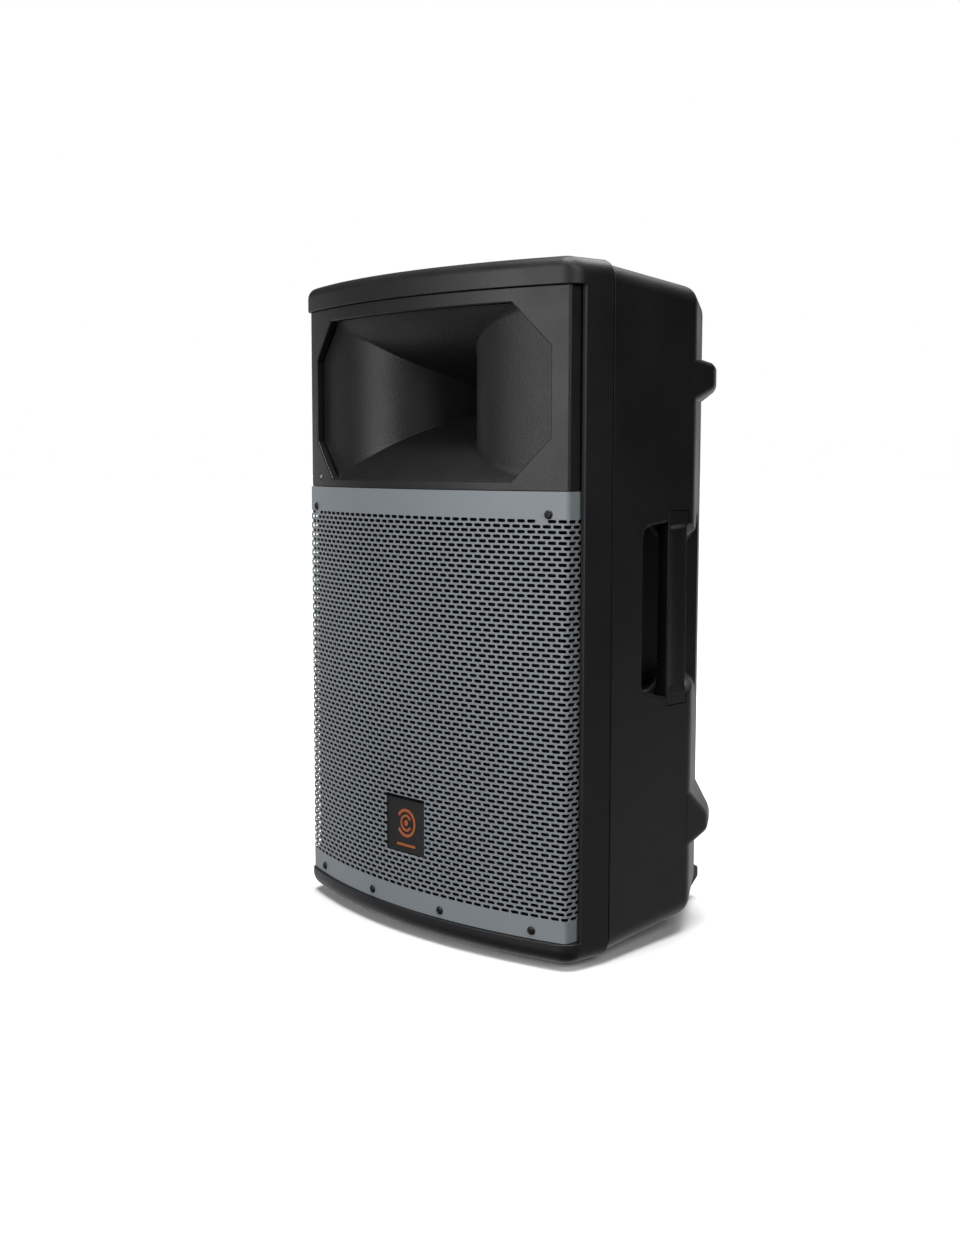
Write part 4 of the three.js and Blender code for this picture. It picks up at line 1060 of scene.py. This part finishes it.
turned("cone", PAPER, 0, WOOFER_Z, CONE_Y, [
    (150, 0), (150, 1.4), (148, 2), (120, 14.5), (84, 35), (42, 62), (41, 62), (41, 60), (82, 33.5),
    (118, 13), (146, 0), (150, 0)], "woofer_cone", body="woofer_cone")
turned("dust_cap", PAPER, 0, WOOFER_Z, 0, [
    (0, 79.8), (9, 80.1), (18, 81.3), (26, 83.2), (34, 85.8), (41, 89.6), (46, 92.8), (49.5, 96), (52, 99.1),
    (51.5, 99.7), (45, 94.3), (33, 87.4), (17, 82.8), (0, 81.4)], "woofer_dust_cap", body="woofer_cone")
turned("voice_coil", COPPER, 0, WOOFER_Z, 0, [
    (38, 106), (38, 168), (36.4, 168), (36.4, 106), (38, 106)], "woofer_voice_coil", body="woofer_cone")
turned("top_plate", STEEL, 0, WOOFER_Z, MAGNET_Y, [
    (39.2, 0), (77, 0), (78, 1), (78, 8), (39.2, 8), (39.2, 0)], "woofer_top_plate")
turned("magnet_ring", FERRITE, 0, WOOFER_Z, MAGNET_Y, [
    (46, 8.3), (88, 8.3), (90, 10), (90, 28), (88, 30), (46, 30), (46, 8.3)], "woofer_magnet")
turned("back_plate", STEEL, 0, WOOFER_Z, MAGNET_Y, [
    (0, 0), (34, 0), (35, 1), (35, 30.3), (77, 30.3), (78, 31.3), (78, 37.3), (77, 38.3), (0, 38.3)],
       "woofer_back_plate")
turned("driver_plate", STEEL, 0, OPEN_Z, DRIVER_Y, [
    (12.7, 0), (45.5, 0), (46, 0.5), (46, 9), (12.7, 9), (12.7, 0)], "driver_front_plate")
turned("driver_ring", FERRITE, 0, OPEN_Z, DRIVER_Y, [
    (24, 9.3), (59, 9.3), (60, 10.3), (60, 27), (59, 28), (24, 28), (24, 9.3)], "driver_magnet")
turned("driver_cover", BLACK, 0, OPEN_Z, DRIVER_Y + 28.3, [
    (50, 0), (50, 10), (47, 14.5), (40, 20), (30, 21.6), (0, 22), (0, 20), (38, 18), (47, 9), (47, 0),
    (50, 0)],
       "driver_cap")
turned("transformer_coil", WRAP, 0, TRANSFORMER_Z, AMP_Y[0] - 42, [
    (16, 4), (20, 0), (44, 0), (47, 2), (48, 5), (48, 36.7), (47, 39.7), (44, 41.7), (20, 41.7), (16, 37.7),
    (16, 4)],
       "transformer", wave=lambda r, h, a: 0.5 * (math.cos(48 * a) - 1) * (r > 30))
for s, hand in ((-1, "left"), (1, "right")):
    turned(f"port_{hand}", BLACK, s * PORT_X, PORT_Z, 0, [(PORT_R + r, y) for r, y in (
        (2.5, 49.7), (2.5, 130), (0, 130), (0, 52.5), (0.8, 49), (3, 46.5), (7.4, 46.5), (8, 47.2), (8, 49.7),
        (2.5, 49.7))], f"port_tube_{hand}")
    for where, (x, y) in (("front", FRONT_FOOT), ("rear", REAR_FOOT)):
        turned(f"{where}_rubber_{hand}", RUBBER, s * x, y, 0, [
            (0, -0.3), (11.6, -0.3), (12, -0.8), (11.2, -4.2), (10.4, -5), (6, -5), (5, -4.2), (0, -4.2)],
               f"{where}_foot_{hand}", along="z")
turned("pole_cup", BLACK, 0, POLE_Y, 0, [
    (23.5, 2.7), (23.5, 91.5), (23, 92), (0, 92), (0, 88), (17.3, 88), (17.8, 87.5), (17.8, 2), (19.8, -0.4),
    (37.4, -0.4), (38, 0.2), (38, 2.7), (23.5, 2.7)], "pole_socket", along="z")


# ---- the surround and the spider
def sectors(name, looks, node, profile, count, outer, inner):
    """A ring in sectors that bend between the frame at its outer radius and the cone at its inner one."""
    steps = max(2, 96 * FINE // count // 2)

    def at(r, y, k):
        a = 2 * math.pi * k / count
        return (r * math.cos(a), y, WOOFER_Z + r * math.sin(a))
    for k in range(count):
        rings = [[at(r, y, k + i / steps) for r, y in profile] for i in range(steps + 1)]
        ob = loft(f"{name}_{k + 1:02d}", rings)
        dress(ob, looks, 50)
        start, end = (place(at(r, CONE_Y, k + 0.5)) for r in (outer, inner))
        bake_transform(ob, "cabinet", "woofer_cone", start=start, end=end)
        if k == 0:
            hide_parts(node)


over = arc(162, CONE_Y, 9.6, 0, -math.pi, 12)
under = arc(162, CONE_Y, 8.3, -math.pi, 0, 12)
roll = [(173.6, CONE_Y), *over, (150.3, CONE_Y), (150.3, CONE_Y + 1.3), *under, (173.6, CONE_Y + 1.3)]
sectors("surround", CLOTH, "woofer_surround", roll, 24, 172.6, 151.3)
waves = [(38.3 + 51.7 * i / 32, 123.5 + 2.6 * math.sin(math.pi * i / 4) * (1 if 2 < i < 31 else 0.3))
         for i in range(33)]
sectors("spider", SPIDER, "woofer_spider", waves + [(r, y + 1) for r, y in reversed(waves)], 12, 90, 40)


# ---- amplifier panel: knobs, buttons, sockets and prints; heights are over its face
def flutes(r, h, a):
    return -0.45 * (0.5 + 0.5 * math.cos(18 * a)) ** 3 * (3.2 < h < 14 and r > 6)


def fuse_flutes(r, h, a):
    return -0.3 * (0.5 + 0.5 * math.cos(24 * a)) ** 2 * (2.9 < h < 8.7 and r > 6)


def dial(key, x):
    turned(f"dial_{key}", KNOB, x, KNOB_Z, FACE, [
        (3.3, 1), (9.2, 1), (9.5, 1.4), (9.5, 2.6), (9.1, 3.1), (8.3, 4), (8.0, 5), (7.7, 9), (7.4, 13.8),
        (7.0, 14.6), (6.4, 15), (0, 15), (0, 11.5), (3.3, 11.5), (3.3, 1)],
           f"knob_{key}", body=f"knob_{key}", wave=flutes, segments=144, sharp=50)
    pointer = prism(f"pointer_{key}", round_rect(x - 0.55, x + 0.55, KNOB_Z + 1.2, KNOB_Z + 6.3, 0.5, 4), "y",
                    FACE + 14.8, FACE + 15.25)
    finish(bevel(pointer, 0.12, lambda m: m.y > FACE + 15, angle=60), PRINT, body=f"knob_{key}")


def socket(node, x):
    """A flanged shell, and in it a carrier with a jack hole in the middle and three contact holes."""
    def turn(name, profile, x=x, z=SOCKET_Z, segments=96):
        return lathe(name, profile, x, z, segments, base=FACE)
    flange = round_rect(x - 13, x + 13, SOCKET_Z - 16, SOCKET_Z + 16, 2.5, 6)
    shell = bevel(prism(f"{node}_shell", flange, "y", FACE + 0.3, FACE + 2.3), 0.5,
                  lambda m: m.y > FACE + 2, segments=3)
    join(shell, rod(x, SOCKET_Z, 12, (FACE - 22, FACE + 1.3), 96),
         turn("rim", [(0, 1.3), (11.2, 1.3), (11.2, 2.9), (10.8, 3.3), (0, 3.3)]))
    cut(shell, turn("cutter", [(0, -18), (9.5, -18), (9.5, 2.7), (10.2, 3.5), (0, 3.5)]))
    for s in (-1, 1):
        countersunk = [(0, 1.3), (1.3, 1.3), (2.4, 2.7), (0, 2.7)]
        cut(shell, turn("cutter", countersunk, x + s * 10, SOCKET_Z + s * 12.5, 32))
    finish(tidy(shell), BLACK, node)
    core = turn(f"{node}_core", [(3.3, -17.8), (9.2, -17.8), (9.2, -8), (8.8, -7.6), (3.6, -7.6), (3.3, -8),
                                 (3.3, -17.8)], segments=64)
    for hole_x, hole_z in arc(x, SOCKET_Z, 6.2, math.pi / 2, math.pi * 11 / 6, 2):
        cut(core, turn("cutter", [(0, -15), (1.25, -15), (1.25, -8), (1.7, -7), (0, -7)], hole_x, hole_z, 24))
    finish(tidy(core), KNOB, slot="black_plastic")
    turned(f"{node}_contact", STEEL, x, SOCKET_Z, FACE, [
        (2.9, -17.6), (3.2, -17.6), (3.2, -9), (2.9, -9), (2.9, -17.6)])


for key, x in KNOBS.items():
    dial(key, x)
for key, x in BUTTONS.items():
    turned(f"cap_{key}", KNOB, x, KNOB_Z, FACE, [
        (0, -3.5), (4, -3.5), (4, 4.4), (3.6, 4.9), (3.2, 5), (1.6, 4.75), (0, 4.7)],
           f"button_{key}", body=f"button_{key}")
for node, x in SOCKETS.items():
    socket(node, x)
for i, (dx, dz) in enumerate(((-7, -2.2), (0, 3.4), (7, -2.2))):
    blade = centred(f"inlet_blade_{i + 1}", INLET_X + dx, 1, (FACE - 16.3, FACE - 2.5), POWER_Z + dz, 2.4)
    finish(bevel(blade, 0.5, segments=3), STEEL)
fuse = lathe("fuse_cap", [
    (0, 9.3), (5.6, 9.3), (6.3, 9), (7, 8.3), (7, 2.8), (8.6, 2.3), (9, 1.9), (9, 0.3), (6, 0.3), (6, -25.7),
    (0, -25.7)], FUSE_X, POWER_Z, 96, base=FACE, wave=fuse_flutes)
cut(fuse, centred("cutter", FUSE_X, 4.6, (FACE + 7.9, FACE + 12.3), POWER_Z, 0.7))
finish(tidy(fuse), BLACK, "fuse_holder", sharp=50)


def printed(name, outlines):
    """Thin printed shapes as one piece."""
    first, *others = outlines
    finish(prism(name, first, "y", FACE - 0.05, FACE + 0.12, *others), PRINT)


def tick(x, z, angle, inner, outer):
    """A short line that points at (x, z)."""
    u, v = math.sin(angle), math.cos(angle)
    return [(x + u * r + v * w, z + v * r - u * w)
            for r, w in ((inner, -0.22), (inner, 0.22), (outer, 0.22), (outer, -0.22))]


def border(name, half_w, low, high):
    """A rounded frame 0.5 mm wide, as quads."""
    outer = round_rect(-half_w, half_w, low, high, 4, 6)
    inner = round_rect(0.5 - half_w, half_w - 0.5, low + 0.5, high - 0.5, 3.6, 6)
    pairs = list(zip(outer, inner))
    printed(name, [[a, c, d, b] for (a, b), (c, d) in zip(pairs, pairs[1:] + pairs[:1])])


marks = [tick(x, KNOB_Z, math.radians(-150 + 30 * i), 11.3, 13.4 if i in (0, 5, 10) else 12.6)
         for x in KNOBS.values() for i in range(11)]
for x in BUTTONS.values():
    marks += [open_ring(x, KNOB_Z, 6.2, 6.6, 20, 340, 24),
              round_rect(x - 2.2, x + 2.2, KNOB_Z - 10.2, KNOB_Z - 9.7, 0.2, 3)]
marks += [round_rect(x - 13.6, x + 13.6, SOCKET_Z - 18.8, SOCKET_Z - 18.4, 0.15, 3) for x in SOCKETS.values()]
printed("panel_marks", marks)
border("panel_border", 98, 420, 524)
border("power_border", 82, 166, 214)


# ---- camera, floor and light
def aim(ob, spot, target):
    ob.location = spot
    ob.rotation_euler = (Vector(target) - Vector(spot)).to_track_quat("-Z", "Y").to_euler()


def card(name, half_w, half_h, looks):
    """A flat rectangle that is part of the studio."""
    mesh = bpy.data.meshes.new(name)
    corners = [(-half_w, -half_h, 0), (half_w, -half_h, 0), (half_w, half_h, 0), (-half_w, half_h, 0)]
    mesh.from_pydata(corners, [], [(0, 1, 2, 3)])
    mesh.materials.append(looks.material)
    ob = new_object(name, mesh)
    return ob


def lamp(name, spot, target, size, power, color=(1, 1, 1)):
    light = bpy.data.lights.new(name, "AREA")
    light.shape, light.size, light.size_y = "RECTANGLE", *size
    light.energy, light.color = power, color
    aim(new_object(name, light), spot, target)


def flat_looks(name, rough, spec, scale, dark, light):
    looks = Looks(name, rough, spec=spec)
    looks.color(looks.noise(scale, 3), (dark,) * 3, (light,) * 3)
    return looks


lens_data = bpy.data.cameras.new("camera")
lens_data.lens, lens_data.sensor_width = 45.28, 36.0
camera = new_object("camera", lens_data)
yaw, pitch, tilt = (math.radians(a) for a in (47.80, 6.143, 0.074))
look = Vector((-math.sin(yaw) * math.cos(pitch), math.cos(yaw) * math.cos(pitch), -math.sin(pitch)))
camera.location = (1.2756, -1.2182, 0.5031)
camera.rotation_euler = (look.to_track_quat("-Z", "Y").to_matrix() @ Matrix.Rotation(tilt, 3, "Z")).to_euler()
scene.camera = camera

floor = card("floor", 40, 40, flat_looks("floor_pale", 0.75, 0.2, 1.5, 0.93, 0.95))
floor.visible_diffuse = floor.visible_glossy = False
# a dark card that keeps stray light off one side; no view shows it
shade_card = card("flag_right", 2.5, 1.5, flat_looks("felt", 1.0, 0.0, 40, 0.004, 0.006))
aim(shade_card, (1.5, 1.2, 1.5), (0.1, 0.0, 1.5))
shade_card.visible_camera = shade_card.visible_shadow = False

sky = bpy.data.lights.new("sky", "SUN")
sky.energy, sky.angle = 3.9, math.radians(36)
aim(new_object("sky", sky), (0, 0, 0), (0.02, 0.02, -1))
lamp("key", (-0.1, -2.6, 0.85), (0.0, -0.1, 0.40), (2.4, 1.5), 44, (0.97, 0.97, 1.0))
lamp("fill", (2.1, -0.45, 1.4), (0.2, 0.0, 0.35), (1.2, 1.2), 20)
lamp("rear", (-0.3, 1.8, 2.9), (0.0, 0.1, 0.35), (1.6, 1.0), 38)

world = bpy.data.worlds.new("studio")
scene.world = world
world.use_nodes = True
room = world.node_tree
around = room.nodes.new("ShaderNodeTexCoord").outputs["Generated"]


def glow(direction, start, end, strength):
    """A soft bright patch of the room in one direction."""
    there = fed(room, "ShaderNodeVectorMath", around, direction, operation="DOT_PRODUCT").outputs["Value"]
    return fed(room, "ShaderNodeMapRange", there, start, end, 0.0, strength,
               interpolation_type="SMOOTHSTEP").outputs[0]


def mixed_light(operation, a, b):
    return fed(room, "ShaderNodeMath", a, b, operation=operation).outputs[0]


behind = glow((-0.736, 0.668, -0.25), 0.30, 0.86, 0.85)
behind = mixed_light("MULTIPLY", behind, glow((0, 0, -1), -0.26, 0.02, 1.0))
beneath = glow((0.66, 0.60, -0.45), 0.80, 1.00, 0.22)
lit = mixed_light("ADD", mixed_light("ADD", behind, beneath), 0.055)
# the camera sees the room as plain white
straight = room.nodes.new("ShaderNodeLightPath").outputs["Is Camera Ray"]
backdrop = room.nodes["Background"]
backdrop.inputs["Color"].default_value = (1, 1, 1, 1)
room.links.new(mixed_light("MAXIMUM", lit, straight), backdrop.inputs["Strength"])
scene.view_settings.view_transform = "Standard"
scene.view_settings.look = "None"
